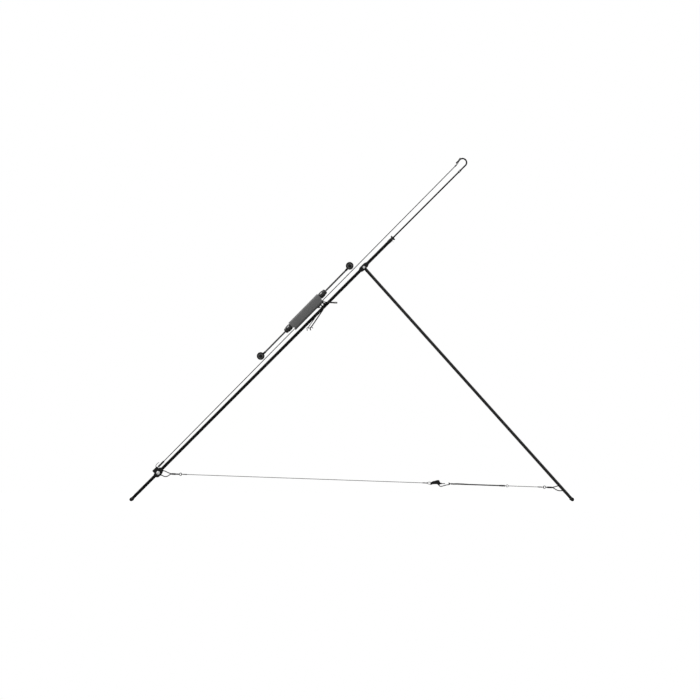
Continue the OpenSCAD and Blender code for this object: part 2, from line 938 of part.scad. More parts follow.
module stay_lead() {
    ring_at = cord_crimp + 13.2 + cord_ring_r;
    color(steel)
        on_stay()
            union() {
                bar_x(cord_crimp + 11, ring_at - cord_ring_r + 0.2, 0.9);
                translate([ring_at, 0, 0])
                    ring_xz(cord_ring_r, 0.55);
                bar_x(ring_at + cord_ring_r - 0.2, stay_l - near_crimp, wire_r);
                translate([stay_l - link_at, 0, 0])
                    ring_xy(link_r, link_wire);
            }
}

// Shuttle body, a long bar with round edges; half gives one side of it
module body_bar(grow, half_l) {
    w = body_w / 2 + grow;
    low = -body_drop - grow;
    high = body_rise + grow;
    top_r = body_top_r + grow;
    low_r = body_low_r + grow;
    for (side = [-1, 1]) {
        translate([0, side * (w - top_r), high - top_r])
            bar_x(-half_l, half_l, top_r);
        translate([0, side * (w - low_r), low + low_r])
            bar_x(-half_l, half_l, low_r);
    }
    translate([-half_l, -w, low + low_r])
        cube([2 * half_l, 2 * w, high - low - top_r - low_r]);
    translate([-half_l, -w + low_r, low])
        cube([2 * half_l, 2 * (w - low_r), low_r + eps]);
    translate([-half_l, -w + top_r, high - top_r - eps])
        cube([2 * half_l, 2 * (w - top_r), top_r + eps]);
}

// Half of the hollow body, on the side given; the seam is the plane Y = 0
module shell(side) {
    half_l = body_l / 2;
    on_shuttle()
        difference() {
            intersection() {
                body_bar(0, half_l);
                translate([-body_l, side > 0 ? 0 : -body_w, -body_drop - 1])
                    cube([2 * body_l, body_w, body_rise + body_drop + 2]);
            }
            translate([0, 0, carrier_rise])
                bar_x(-ballast_l / 2 - 1, ballast_l / 2 + 1, ballast_r + 0.2);
            translate([0, 0, carrier_rise])
                bar_x(-body_l, body_l, carrier_fit_r);
            bar_x(-body_l, body_l, line_bore_r);
            for (end = [-1, 1])
                translate([end * (half_l + 0.8), 0, 0.9])
                    bar_y(-body_w, body_w, 3);
            for (u = [-half_l + shell_screw_in, half_l - shell_screw_in])
                translate([u, 0, shell_screw_v]) {
                    bar_y(-body_w / 2 + 2.4, body_w, shell_screw_r + snug);
                    bar_y(body_w / 2 - 1.4, body_w, shell_head_r + snug);
                }
        }
}

module shell_near() {
    color(grey)
        shell(-1);
}

module shell_far() {
    color(grey)
        shell(1);
}

module shell_screws() {
    color(steel)
        for (u = [-body_l / 2 + shell_screw_in, body_l / 2 - shell_screw_in])
            on_shuttle(u, shell_screw_v)
                union() {
                    bar_y(-body_w / 2 + 2.8, body_w / 2 - 1.4 + eps, shell_screw_r);
                    bar_y(body_w / 2 - 1.4, body_w / 2 - 0.2, shell_head_r);
                }
}

module ballast() {
    color(wire_grey)
        on_shuttle(0, carrier_rise)
            difference() {
                bar_x(-ballast_l / 2, ballast_l / 2, ballast_r);
                bar_x(-body_l, body_l, carrier_fit_r);
            }
}

module carrier_rod() {
    color(black)
        on_shuttle(0, carrier_rise)
            bar_x(-carrier_half, carrier_half, carrier_r);
}

// One turned knob against the body's end: a barrel, a neck and a flange
module knob() {
    r = knob_d / 2;
    bar = knob_l * 0.68;
    rotate([0, 90, 0])
        difference() {
            union() {
                cylinder(h = 1, r1 = r - 0.8, r2 = r);
                translate([0, 0, 1])
                    cylinder(h = bar - 2, r = r);
                translate([0, 0, bar - 1])
                    cylinder(h = 1, r1 = r, r2 = r - 1);
                translate([0, 0, bar - eps])
                    cylinder(h = 0.8, r = r - 1.4);
                translate([0, 0, bar + 0.6])
                    cylinder(h = 0.8, r1 = r - 1.4, r2 = r - 0.6);
                translate([0, 0, bar + 1.4 - eps])
                    cylinder(h = knob_l - bar - 2.6, r = r - 0.6);
                translate([0, 0, knob_l - 1.2 - 2 * eps])
                    cylinder(h = 1.2, r1 = r - 0.6, r2 = r - 1.8);
            }
            translate([0, 0, -1])
                cylinder(h = knob_l + 2, r = carrier_fit_r);
        }
}

module end_knobs() {
    color(black)
        for (turn = [0, 180])
            on_shuttle(0, carrier_rise)
                rotate([0, turn, 0])
                    translate([body_l / 2, 0, 0])
                        knob();
}

// Cranked arms on the carrier rod's ends, each behind its wheel
module axle_arms() {
    grip = 4;
    half_h = carrier_r + 0.4;
    color(soft_black)
        for (side = [-1, 1])
            on_shuttle(0, carrier_rise)
                scale([side, 1, 1])
                    difference() {
                        union() {
                            translate([carrier_half - grip, -half_h, -half_h])
                                cube([grip, half_h + arm_y + 0.6, 2 * half_h]);
                            plate_xz(arm_y, arm_y + arm_t, [[carrier_half - grip + 0.6, -half_h + 0.4],
                                [wheel_reach, axle_up - 2.8], [wheel_reach + 2, axle_up - 2],
                                [wheel_reach + 2.8, axle_up], [wheel_reach + 2, axle_up + 2],
                                [wheel_reach, axle_up + 2.8], [carrier_half - grip + 0.6, half_h - 0.4]]);
                        }
                        bar_x(0, carrier_half + eps, carrier_fit_r);
                        translate([wheel_reach, 0, axle_up])
                            bar_y(0, body_w, axle_r + snug);
                    }
}

module axle_screws() {
    color(soft_black)
        for (side = [-1, 1])
            on_shuttle(side * wheel_reach, carrier_rise + axle_up)
                difference() {
                    union() {
                        bar_y(-arm_y - eps, arm_y + arm_t + eps, axle_r);
                        bar_y(-arm_y - 1.2, -arm_y, 2.6);
                        bar_y(-arm_y - 1.8, -arm_y - 1.2 + eps, 2);
                        bar_y(arm_y + arm_t, arm_y + arm_t + 1.6, 2.6);
                    }
                    translate([0, -arm_y - 1.8, 0])
                        rotate([90, 0, 0])
                            cylinder(h = 1.6, r = 1, center = true, $fn = 6);
                }
}

// A grooved wheel with a dished web, turning on its axle screw
module guide_wheel() {
    half_w = wheel_w / 2;
    hub = 3.1;
    dish = 0.7;
    groove = 0.9;
    rotate([90, 0, 0])
        rotate_extrude()
            polygon([[axle_r + run, -half_w], [hub, -half_w], [hub, -half_w + dish],
                [wheel_r - 2, -half_w + dish], [wheel_r - 1.6, -half_w], [wheel_r - 0.4, -half_w],
                [wheel_r, -half_w + 0.5], [wheel_r - groove, -0.5], [wheel_r - groove, 0.5],
                [wheel_r, half_w - 0.5], [wheel_r - 0.4, half_w], [wheel_r - 1.6, half_w],
                [wheel_r - 2, half_w - dish], [hub, half_w - dish], [hub, half_w], [axle_r + run, half_w]]);
}

module wheel_low() {
    color(soft_black)
        on_shuttle(-wheel_reach, carrier_rise + axle_up)
            guide_wheel();
}

module wheel_high() {
    color(soft_black)
        on_shuttle(wheel_reach, carrier_rise + axle_up)
            guide_wheel();
}

// Trigger: a bracket with two cheeks astride the mast, a keeper fork, and a sprung lever
base_u = body_l / 2 - 19.5;
cheek_low = pin_v - 3.4;
module trigger_bracket() {
    color(soft_black)
        on_shuttle()
            difference() {
                union() {
                    translate([base_u, -cheek_y - cheek_t, -body_drop - plate_t])
                        cube([body_l / 2 - base_u, 2 * (cheek_y + cheek_t), plate_t]);
                    for (side = [-1, 1])
                        scale([1, side, 1])
                            plate_xz(cheek_y, cheek_y + cheek_t, [
                                [base_u, -body_drop - plate_t + eps], [base_u + 3.4, cheek_low + 1.8],
                                [base_u + 6, cheek_low], [body_l / 2 - 5, cheek_low],
                                [body_l / 2 - 0.6, cheek_low + 0.8], [body_l / 2, cheek_low + 2.6],
                                [body_l / 2, -body_drop - plate_t + eps]]);
                }
                translate([pin_u, 0, pin_v])
                    bar_y(-body_w, body_w, pin_r + run);
                translate([base_u + 6.4, 0, pin_v - 0.9])
                    bar_y(-body_w, body_w, 1.6);
                translate([base_u + 12, 0, pin_v - 0.6])
                    bar_y(-body_w, body_w, 1.9);
            }
}

module keeper_arm() {
    y0 = -cheek_y - cheek_t;
    y1 = -cheek_y;
    root = [base_u + 7.4, cheek_low - 0.02];
    crank = [1, -14];
    fork = [-18.9, -17.4];
    color(black)
        on_shuttle()
            union() {
                strip([root, root + [0, -1], crank, fork, fork + [-3, 0.8], fork + [-6.4, -3.4]], 0.75,
                    y0, y1);
                strip([fork + [0.6, 0.8], fork + [-1.2, -3.2]], 0.7, y0, y1);
            }
}

module trip_pin() {
    color(steel)
        on_shuttle(pin_u, pin_v)
            union() {
                bar_y(-lever_y - lever_t - 0.3, cheek_y + cheek_t + 2.6, pin_r);
                bar_y(-lever_y - lever_t - 1, -lever_y - lever_t - 0.3 + eps, 1.7);
                bar_y(cheek_y + cheek_t + 2.5, cheek_y + cheek_t + 3.1, 1.7);
            }
}

module trip_spring() {
    coil_r = pin_r + 0.6;
    first = cheek_y + cheek_t + 0.45;
    turns = 3;
    pitch = 0.58;
    color(steel)
        on_shuttle(pin_u, pin_v)
            wire(concat([[-6, first, -coil_r], [-3, first, -coil_r]],
                [for (k = [0 : 12 * turns])
                    [-coil_r * sin(30 * k), first + pitch * k / 12, -coil_r * cos(30 * k)]]), 0.25, 6);
}

// Trip lever: a hub on the pin, a cranked arm with a fork, and a paddle
module trip_lever() {
    y0 = -lever_y - lever_t;
    y1 = -lever_y;
    fork = [-53.1, -16.3];
    crank = [-13, -8.9];
    paddle_l = 26.3;
    step = 0.1;
    paddle_slope = 47.5;
    color(soft_black)
        on_shuttle(pin_u, pin_v)
            difference() {
                union() {
                    bar_y(y0, y1, 2.4);
                    strip([[-0.2, 0], crank, fork, fork + [-3, 0.6], fork + [-6, -3.8]], 1.1,
                        y0 + step, y1 - step);
                    strip([fork + [-0.3, 0.2], fork + [0.5, -4.3]], 0.75, y0 + 2 * step, y1 - 2 * step);
                    rotate([0, paddle_slope, 0])
                        plate_xz(y0 + step, y1 - step, [[0.3, -1.2], [paddle_l - 2.4, -1.6], [paddle_l, -1.1],
                            [paddle_l, 1.1], [paddle_l - 2.4, 1.6], [0.3, 1.2]]);
                }
                bar_y(y0 - 1, y1 + 1, pin_r + run);
            }
}

mast_tube();
mast_foot_hub();
mast_foot_bar();
mast_foot_caps();
anchor_clamp();
anchor_screw();
anchor_nut();
line_sleeve();
line_tag();
guide_line();
hinge_bracket();
bracket_screw();
hinge_screw();
hinge_washer();
lock_collar();
collar_pin();
lock_nut();
tip_rod();
rod_glide();
rod_ferrule();
ferrule_band();
tip_crook();
crook_bead();
line_crimp();
line_eye();
leg_tube();
leg_eye();
leg_foot_hub();
leg_foot_bar();
leg_foot_caps();
stay_leg_loop();
stay_leg_crimp();
stay_mast_loop();
stay_mast_crimp();
stay_wire();
stay_crimps();
clip_eye();
clip_body();
clip_snap();
clip_tail();
stay_cord();
cord_crimps();
stay_lead();
shell_near();
shell_far();
shell_screws();
ballast();
carrier_rod();
end_knobs();
axle_arms();
axle_screws();
wheel_low();
wheel_high();
trigger_bracket();
keeper_arm();
trip_pin();
trip_spring();
trip_lever();
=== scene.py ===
import json
import math

import bmesh
import bpy
from mathutils import Matrix, Vector

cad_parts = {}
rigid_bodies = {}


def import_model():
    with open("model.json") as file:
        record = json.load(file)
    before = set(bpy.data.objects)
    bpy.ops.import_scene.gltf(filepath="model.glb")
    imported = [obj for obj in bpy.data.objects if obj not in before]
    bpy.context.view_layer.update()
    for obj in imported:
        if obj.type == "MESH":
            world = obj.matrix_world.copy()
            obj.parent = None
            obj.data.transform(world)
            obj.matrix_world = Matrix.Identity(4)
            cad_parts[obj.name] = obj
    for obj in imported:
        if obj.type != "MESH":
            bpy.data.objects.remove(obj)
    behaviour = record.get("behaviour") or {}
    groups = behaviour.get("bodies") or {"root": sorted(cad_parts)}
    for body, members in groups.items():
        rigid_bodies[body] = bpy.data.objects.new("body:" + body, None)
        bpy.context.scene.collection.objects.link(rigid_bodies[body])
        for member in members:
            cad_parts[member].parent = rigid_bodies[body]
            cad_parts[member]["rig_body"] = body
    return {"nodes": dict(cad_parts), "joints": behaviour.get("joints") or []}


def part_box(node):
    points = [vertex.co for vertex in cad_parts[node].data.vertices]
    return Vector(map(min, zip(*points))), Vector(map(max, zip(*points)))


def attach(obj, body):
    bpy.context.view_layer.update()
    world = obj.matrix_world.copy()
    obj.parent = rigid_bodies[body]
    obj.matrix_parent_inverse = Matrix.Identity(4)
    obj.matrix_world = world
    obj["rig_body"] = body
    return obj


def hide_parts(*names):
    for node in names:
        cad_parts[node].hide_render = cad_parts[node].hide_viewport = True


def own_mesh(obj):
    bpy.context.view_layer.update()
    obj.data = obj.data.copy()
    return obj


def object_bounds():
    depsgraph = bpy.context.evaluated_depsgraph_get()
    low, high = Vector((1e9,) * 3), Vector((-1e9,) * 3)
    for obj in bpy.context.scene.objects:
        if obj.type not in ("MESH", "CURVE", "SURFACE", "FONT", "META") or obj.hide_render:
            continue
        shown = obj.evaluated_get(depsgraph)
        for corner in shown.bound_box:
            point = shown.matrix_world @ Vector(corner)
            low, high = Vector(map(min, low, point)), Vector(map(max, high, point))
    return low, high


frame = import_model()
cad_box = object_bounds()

MM = 0.001
RING_SLOPE = 0.37
SIDEWAYS = Vector((0, 1, 0))
cad = frame["nodes"]
joints = {joint["name"]: joint for joint in frame["joints"]}
body_of = {name: node["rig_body"] for name, node in cad.items()}


# ---------------------------------------------------------------- frames to build in

def along(origin, direction):
    """A frame with X along a rod or line, Y across the stand and Z square to both."""
    x = Vector(direction).normalized()
    z = x.cross(SIDEWAYS)
    turn = Matrix((x, SIDEWAYS, z)).transposed().to_4x4()
    return Matrix.Translation(origin) @ turn


def pivot(name):
    """A joint's own place."""
    return Vector(joints[name]["pos_m"])


def reach(node, place):
    """Lowest and highest corner of a CAD node measured in a frame of its own."""
    into = place.inverted()
    points = [into @ vertex.co for vertex in cad[node].data.vertices]
    return (Vector([min(p[i] for p in points) for i in range(3)]),
            Vector([max(p[i] for p in points) for i in range(3)]))


def middle(node):
    """The middle of a CAD node's box."""
    low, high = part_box(node)
    return (Vector(low) + Vector(high)) / 2


mast_way = Vector(joints["rod_slide"]["axis"]).normalized()
line_way = Vector(joints["shuttle_slide"]["axis"]).normalized()
MAST = along(middle("mast_foot_bar"), mast_way)
hinge = pivot("leg_fold")
leg_foot = middle("leg_foot_bar")
leg_way = Vector((leg_foot.x - hinge.x, 0, leg_foot.z - hinge.z))
LEG = along(Vector((hinge.x, middle("leg_tube").y, hinge.z)), leg_way)
STAY = along(pivot("long_stay_swing"), pivot("short_stay_swing") - pivot("long_stay_swing"))
line_low, line_high = reach("guide_line", along(middle("guide_line"), line_way))
LINE = along(middle("guide_line") + line_way * line_low.x, line_way)
line_length = line_high.x - line_low.x
shell_low, shell_high = reach("shell_near", LINE)
SHUTTLE = LINE @ Matrix.Translation(((shell_low.x + shell_high.x) / 2, 0, 0))
half_body = (shell_high.x - shell_low.x) / 2


# ---------------------------------------------------------------- node trees, by name

class Tree:
    """Adds nodes to a tree. A value that is a socket is linked and any other is set."""

    def __init__(self, tree):
        self.tree = tree

    def add(self, kind, sockets=None, **settings):
        """A new node, its settings set and its inputs given by name or number."""
        node = self.tree.nodes.new(kind)
        for key, value in settings.items():
            setattr(node, key, value)
        for key, value in (sockets or {}).items():
            self.put(node.inputs[key], value)
        return node

    def put(self, socket, value):
        """Links a socket to this input, or sets its value."""
        if isinstance(value, bpy.types.NodeSocket):
            self.tree.links.new(value, socket)
        else:
            socket.default_value = value

    def math(self, operation, a, b=0.0, c=0.0):
        """The result of a Math node."""
        return self.add("ShaderNodeMath", {0: a, 1: b, 2: c}, operation=operation).outputs[0]

    def vector(self, operation, a, b=None, scale=None):
        """The result of a Vector Math node: a number where the operation gives one."""
        node = self.add("ShaderNodeVectorMath", {0: a}, operation=operation)
        if b is not None:
            self.put(node.inputs[1], b)
        if scale is not None:
            self.put(node.inputs["Scale"], scale)
        return node.outputs[1] if operation in ("LENGTH", "DOT_PRODUCT") else node.outputs[0]


def new_group(name, kind, inputs, outputs):
    """An empty node group with named sockets, and its two end nodes."""
    group = bpy.data.node_groups.new(name, kind)
    for label, socket, value in inputs:
        made = group.interface.new_socket(label, in_out="INPUT", socket_type=socket)
        if value is not None:
            made.default_value = value
    for label, socket in outputs:
        group.interface.new_socket(label, in_out="OUTPUT", socket_type=socket)
    return group, group.nodes.new("NodeGroupInput"), group.nodes.new("NodeGroupOutput")


FLOAT, WHOLE, VECTOR = "NodeSocketFloat", "NodeSocketInt", "NodeSocketVector"
SHAPE, MATERIAL = "NodeSocketGeometry", "NodeSocketMaterial"


# ---------------------------------------------------------------- camera, light and floor

def show(obj):
    """Links an object into the scene."""
    bpy.context.scene.collection.objects.link(obj)
    return obj


def set_camera(view_width, aim_x, aim_z):
    """A long lens square to the side of the stand, so far off that nothing looks tapered."""
    lens = bpy.data.cameras.new("side_camera")
    lens.lens = 800
    lens.sensor_width = 36
    lens.clip_end = 100
    distance = view_width * lens.lens / lens.sensor_width
    camera = show(bpy.data.objects.new("side_camera", lens))
    camera.location = (aim_x, -distance, cad_box[0].z + aim_z)
    camera.rotation_euler = (math.pi / 2, 0, 0)
    bpy.context.scene.camera = camera


def softbox(name, place, size, watts):
    """An area lamp that faces the middle of the stand."""
    light = bpy.data.lights.new(name, "AREA")
    light.shape = "RECTANGLE"
    light.size, light.size_y = size
    light.energy = watts
    lamp = show(bpy.data.objects.new(name, light))
    lamp.location = place
    aim = Vector((0, 0, 0.3)) - Vector(place)
    lamp.rotation_euler = aim.to_track_quat("-Z", "Y").to_euler()


def set_world(above, below):
    """Soft light, stronger from above than from below, with a white background for what sees it."""
    world = bpy.data.worlds.new("studio")
    bpy.context.scene.world = world
    world.use_nodes = True
    world.node_tree.nodes.clear()
    t = Tree(world.node_tree)
    ray = t.add("ShaderNodeLightPath").outputs
    seen = t.math("MAXIMUM", t.math("MAXIMUM", ray["Is Camera Ray"], ray["Is Glossy Ray"]), ray["Is Transmission Ray"])
    way = t.add("ShaderNodeSeparateXYZ", {0: t.add("ShaderNodeTexCoord").outputs["Generated"]})
    level = t.add("ShaderNodeMapRange", {0: way.outputs["Z"], 1: -0.5, 2: 0.6, 3: below, 4: above})
    even = t.add("ShaderNodeBackground", {"Color": (1, 1, 1, 1), "Strength": level.outputs[0]})
    white = t.add("ShaderNodeBackground", {"Color": (1, 1, 1, 1), "Strength": 1})
    mix = t.add("ShaderNodeMixShader", {0: seen, 1: even.outputs[0], 2: white.outputs[0]})
    t.add("ShaderNodeOutputWorld", {"Surface": mix.outputs[0]})


def lay_floor():
    """A pale floor that stays almost white to the camera and keeps a soft shadow."""
    side = 1.5
    mesh = bpy.data.meshes.new("floor")
    level = cad_box[0].z
    corners = [(-side, -side, level), (side, -side, level), (side, side, level), (-side, side, level)]
    mesh.from_pydata(corners, [], [(0, 1, 2, 3)])
    floor = show(bpy.data.objects.new("floor", mesh))
    pale = bpy.data.materials.new("pale_floor")
    pale.use_nodes = True
    pale.node_tree.nodes.clear()
    t = Tree(pale.node_tree)
    seen = t.add("ShaderNodeLightPath").outputs["Is Camera Ray"]
    paleness = t.add("ShaderNodeMapRange", {0: seen, 3: 0.3, 4: 0.85})
    matt = t.add("ShaderNodeBsdfDiffuse", {"Color": paleness.outputs[0]})
    glow = t.add("ShaderNodeEmission", {"Strength": 1.22})
    mix = t.add("ShaderNodeMixShader", {0: t.math("MULTIPLY", seen, 0.55), 1: matt.outputs[0], 2: glow.outputs[0]})
    t.add("ShaderNodeOutputMaterial", {"Surface": mix.outputs[0]})
    mesh.materials.append(pale)


set_camera(view_width=1.4, aim_x=-0.0035, aim_z=0.3018)
set_world(above=0.55, below=0.03)
softbox("key_lamp", (-2.6, -1.9, 3.2), (1.6, 1.4), 170)
softbox("fill_lamp", (2.2, -2.6, 2.6), (1.4, 1.6), 5)
softbox("back_lamp", (0.6, 2.8, 2.4), (1.8, 1.2), 34)
lay_floor()
bpy.context.scene.view_settings.view_transform = "Standard"


# ---------------------------------------------------------------- effects shared by the finishes

def make_grain():
    """Mottle and fine grain of a moulded or painted skin."""
    group, start, end = new_group(
        "Skin grain", "ShaderNodeTree",
        [("Vector", VECTOR, None), ("Grain Size", FLOAT, 0.3), ("Patch Size", FLOAT, 8.0)],
        [("Grain", FLOAT), ("Patch", FLOAT)])
    t = Tree(group)
    millimetres = t.vector("SCALE", start.outputs["Vector"], scale=1000.0)
    for label, size, detail in (("Grain", "Grain Size", 3.0), ("Patch", "Patch Size", 4.0)):
        scaled = t.vector("SCALE", millimetres, scale=t.math("DIVIDE", 1.0, start.outputs[size]))
        noise = t.add("ShaderNodeTexNoise", {"Vector": scaled, "Scale": 1.0, "Detail": detail})
        t.put(end.inputs[label], noise.outputs[0])
    return group


def make_draw_lines():
    """Fine lines along X, as a drawn tube or a brushed plate has, and scattered scuffs."""
    group, start, end = new_group(
        "Draw lines", "ShaderNodeTree",
        [("Vector", VECTOR, None), ("Line Width", FLOAT, 0.12), ("Stretch", FLOAT, 60.0)],
        [("Lines", FLOAT), ("Scuffs", FLOAT)])
    t = Tree(group)
    millimetres = t.vector("SCALE", start.outputs["Vector"], scale=1000.0)
    squeeze = t.add("ShaderNodeCombineXYZ", {0: t.math("DIVIDE", 1.0, start.outputs["Stretch"]), 1: 1.0, 2: 1.0})
    pulled = t.vector("MULTIPLY", millimetres, squeeze.outputs[0])
    fine = t.vector("SCALE", pulled, scale=t.math("DIVIDE", 1.0, start.outputs["Line Width"]))
    lines = t.add("ShaderNodeTexNoise", {"Vector": fine, "Scale": 1.0, "Detail": 2.0})
    t.put(end.inputs["Lines"], lines.outputs[0])
    slanted = t.add("ShaderNodeMapping", {"Vector": millimetres, "Rotation": (0.3, 0.5, 0.2),
                                          "Scale": (0.12, 2.2, 2.2)})
    marks = t.add("ShaderNodeTexNoise", {"Vector": slanted.outputs[0], "Scale": 1.0, "Detail": 3.0})
    few = t.add("ShaderNodeMapRange", {0: marks.outputs[0], 1: 0.66, 2: 0.74, 3: 0.0, 4: 1.0})
    t.put(end.inputs["Scuffs"], few.outputs[0])
    return group


def make_edge_wear():
    """Where a sharp edge has rubbed: a soft line on the edges, broken up by noise."""
    group, start, end = new_group(
        "Edge wear", "ShaderNodeTree",
        [("Vector", VECTOR, None), ("Width", FLOAT, 0.0004), ("Amount", FLOAT, 1.0)],
        [("Worn", FLOAT)])
    t = Tree(group)
    rounded = t.add("ShaderNodeBevel", {"Radius": start.outputs["Width"]}, samples=4)
    flat = t.add("ShaderNodeNewGeometry")
    match = t.vector("DOT_PRODUCT", rounded.outputs[0], flat.outputs["Normal"])
    edge = t.add("ShaderNodeMapRange", {0: match, 1: 0.985, 2: 0.86, 3: 0.0, 4: 1.0})
    spots = t.add("ShaderNodeTexNoise", {"Vector": start.outputs["Vector"], "Scale": 900.0, "Detail": 3.0})
    broken = t.add("ShaderNodeMapRange", {0: spots.outputs[0], 1: 0.42, 2: 0.66, 3: 0.0, 4: 1.0})
    worn = t.math("MULTIPLY", edge.outputs[0], broken.outputs[0])
    t.put(end.inputs["Worn"], t.math("MULTIPLY", worn, start.outputs["Amount"]))
    return group


def make_fibres():
    """Yarn fibres along a strand, from the strand's own wrap: round it and along it."""
    group, start, end = new_group(
        "Strand fibres", "ShaderNodeTree",
        [("Wrap", VECTOR, None), ("Twist", FLOAT, 1.0)],
        [("Fibres", FLOAT), ("Fade", FLOAT)])
    t = Tree(group)
    pulled = t.vector("MULTIPLY", start.outputs["Wrap"], (3.4, 3.4, 420.0))
    yarn = t.add("ShaderNodeTexNoise", {"Vector": pulled, "Scale": 1.0, "Detail": 2.0})
    t.put(end.inputs["Fibres"], t.math("MULTIPLY", yarn.outputs[0], start.outputs["Twist"]))
    slow = t.vector("MULTIPLY", start.outputs["Wrap"], (0.2, 0.2, 40.0))
    fade = t.add("ShaderNodeTexNoise", {"Vector": slow, "Scale": 1.0, "Detail": 1.0})
    t.put(end.inputs["Fade"], fade.outputs[0])
    return group


def make_turning():
    """Rings that a lathe leaves, from a piece's own distance from its axis or along it."""
    group, start, end = new_group(
        "Turning rings", "ShaderNodeTree",
        [("Distance", FLOAT, 0.0), ("Ring Width", FLOAT, 0.09)],
        [("Rings", FLOAT)])
    t = Tree(group)
    steps = t.math("DIVIDE", t.math("MULTIPLY", start.outputs["Distance"], 1000.0), start.outputs["Ring Width"])
    noise = t.add("ShaderNodeTexNoise", {"W": steps, "Scale": 1.0, "Detail": 2.0}, noise_dimensions="1D")
    t.put(end.inputs["Rings"], noise.outputs[0])
    return group


GRAIN = make_grain()
DRAW = make_draw_lines()
WEAR = make_edge_wear()
FIBRE = make_fibres()
TURNING = make_turning()


# ---------------------------------------------------------------- finishes

class Finish:
    """One material: a Principled shader with its own constants, and a tree to feed it."""

    def __init__(self, name, specular=0.5, coat=0.0, sheen=0.0, bump=0.02):
        self.material = bpy.data.materials.new(name)
        self.material.use_nodes = True
        self.t = Tree(self.material.node_tree)
        self.shader = self.material.node_tree.nodes["Principled BSDF"]
        self.shader.inputs["Specular IOR Level"].default_value = specular
        self.shader.inputs["Coat Weight"].default_value = coat
        self.shader.inputs["Coat Roughness"].default_value = 0.08
        self.shader.inputs["Sheen Weight"].default_value = sheen
        self.shader.inputs["Sheen Roughness"].default_value = 0.5
        self.bump = bump
        self.coords = self.t.add("ShaderNodeTexCoord").outputs["Object"]

    def group(self, tree, sockets):
        """The outputs of a shared effect fed with these sockets."""
        node = self.t.add("ShaderNodeGroup", node_tree=tree)
        for key, value in sockets.items():
            self.t.put(node.inputs[key], value)
        return node.outputs

    def turned(self, angle):
        """Object coordinates turned about Y, so that X runs along the piece."""
        return self.t.add("ShaderNodeMapping", {"Vector": self.coords, "Rotation": (0, angle, 0)}).outputs[0]

    def own(self, name, socket="Vector"):
        """A value that the mesh itself carries."""
        return self.t.add("ShaderNodeAttribute", attribute_name=name).outputs[socket]

    def blend(self, mask, below, above):
        """One colour where the mask is 0 and another where it is 1."""
        node = self.t.add("ShaderNodeMix", data_type="RGBA")
        self.t.put(node.inputs[0], mask)
        for key, value in ((6, below), (7, above)):
            self.t.put(node.inputs[key], (*value, 1) if isinstance(value, tuple) else value)
        return node.outputs[2]

    def spread(self, mask, low, high, start=0.3, stop=0.7):
        """A mask stretched from start and stop to low and high."""
        return self.t.add("ShaderNodeMapRange", {0: mask, 1: start, 2: stop, 3: low, 4: high}).outputs[0]

    def finish(self, colour, roughness, height, metallic=0.0):
        """Feeds the shader and returns the material."""
        self.t.put(self.shader.inputs["Base Color"], colour)
        self.t.put(self.shader.inputs["Roughness"], roughness)
        self.t.put(self.shader.inputs["Metallic"], metallic)
        bump = self.t.add("ShaderNodeBump", {"Height": height, "Distance": self.bump * MM, "Strength": 1.0})
        self.t.put(self.shader.inputs["Normal"], bump.outputs[0])
        return self.material


def grey(value, warm=0.0):
    """A grey, a little warmer or cooler where asked."""
    return (value * (1 + warm), value, value * (1 - warm))


def anodised(name, angle, dark=0.0045, rubbed=0.03, specular=0.09):
    """Black anodised drawn tube: draw lines, patches and a few scuffs."""
    f = Finish(name, specular=specular, bump=0.01)
    way = f.turned(angle)
    draw = f.group(DRAW, {"Vector": way, "Line Width": 0.16, "Stretch": 70.0})
    skin = f.group(GRAIN, {"Vector": f.coords, "Grain Size": 0.22, "Patch Size": 14.0})
    base = f.blend(f.spread(skin["Patch"], 0, 1), grey(dark * 0.75), grey(dark * 1.4))
    lined = f.blend(f.spread(draw["Lines"], 0, 0.45, 0.45, 0.8), base, grey(dark * 2.6))
    colour = f.blend(f.spread(draw["Scuffs"], 0, 0.55, 0, 1), lined, grey(rubbed))
    rough = f.t.math("ADD", f.spread(draw["Lines"], 0.30, 0.46), f.spread(skin["Patch"], -0.05, 0.07))
    height = f.t.math("ADD", draw["Lines"], f.t.math("MULTIPLY", skin["Grain"], 0.5))
    return f.finish(colour, rough, height)


def moulded(name, dark, light, specular=0.25, rough=(0.48, 0.66), grain=0.28, bump=0.05, wear=0.5, patches=1.2):
    """Moulded nylon: a fine spark-eroded grain, soft patches and paler edges."""
    f = Finish(name, specular=specular, bump=bump)
    skin = f.group(GRAIN, {"Vector": f.coords, "Grain Size": grain, "Patch Size": 6.0})
    worn = f.group(WEAR, {"Vector": f.coords, "Width": 0.00035, "Amount": wear})
    base = f.blend(f.spread(skin["Patch"], 0, 1), grey(dark * 0.94), grey(dark * 1.06))
    specked = f.blend(f.spread(skin["Grain"], 0, 0.4, 0.5, 0.8), base, grey(dark * patches))
    colour = f.blend(worn["Worn"], specked, grey(light))
    return f.finish(colour, f.spread(skin["Grain"], *rough), skin["Grain"])


def rod_with_painted_highlight(name, angle, dark, pale):
    """Black steel rod, its low end painted paler grey: a painted highlight for the light on the rod below the shuttle.
    """
    f = Finish(name, specular=0.25, bump=0.008)
    way = f.turned(angle)
    draw = f.group(DRAW, {"Vector": way, "Line Width": 0.14, "Stretch": 50.0})
    skin = f.group(GRAIN, {"Vector": f.coords, "Grain Size": 0.2, "Patch Size": 9.0})
    low_end = f.t.vector("DOT_PRODUCT", f.coords, tuple(line_way))
    middle_at = SHUTTLE.translation.dot(line_way)
    # Painted highlight: below the shuttle's middle, the rod blends from its dark tone to the paler one.
    painted_highlight_mask = f.spread(low_end, 1, 0, middle_at - 0.02, middle_at + 0.02)
    tone = f.blend(painted_highlight_mask, grey(dark), grey(pale))
    mottled = f.blend(f.spread(skin["Patch"], 0, 0.3), tone, grey(dark * 2))
    colour = f.blend(f.spread(draw["Scuffs"], 0, 0.5, 0, 1), mottled, grey(0.12))
    height = f.t.math("ADD", draw["Lines"], f.t.math("MULTIPLY", skin["Grain"], 0.4))
    return f.finish(colour, f.spread(draw["Lines"], 0.28, 0.46), height)


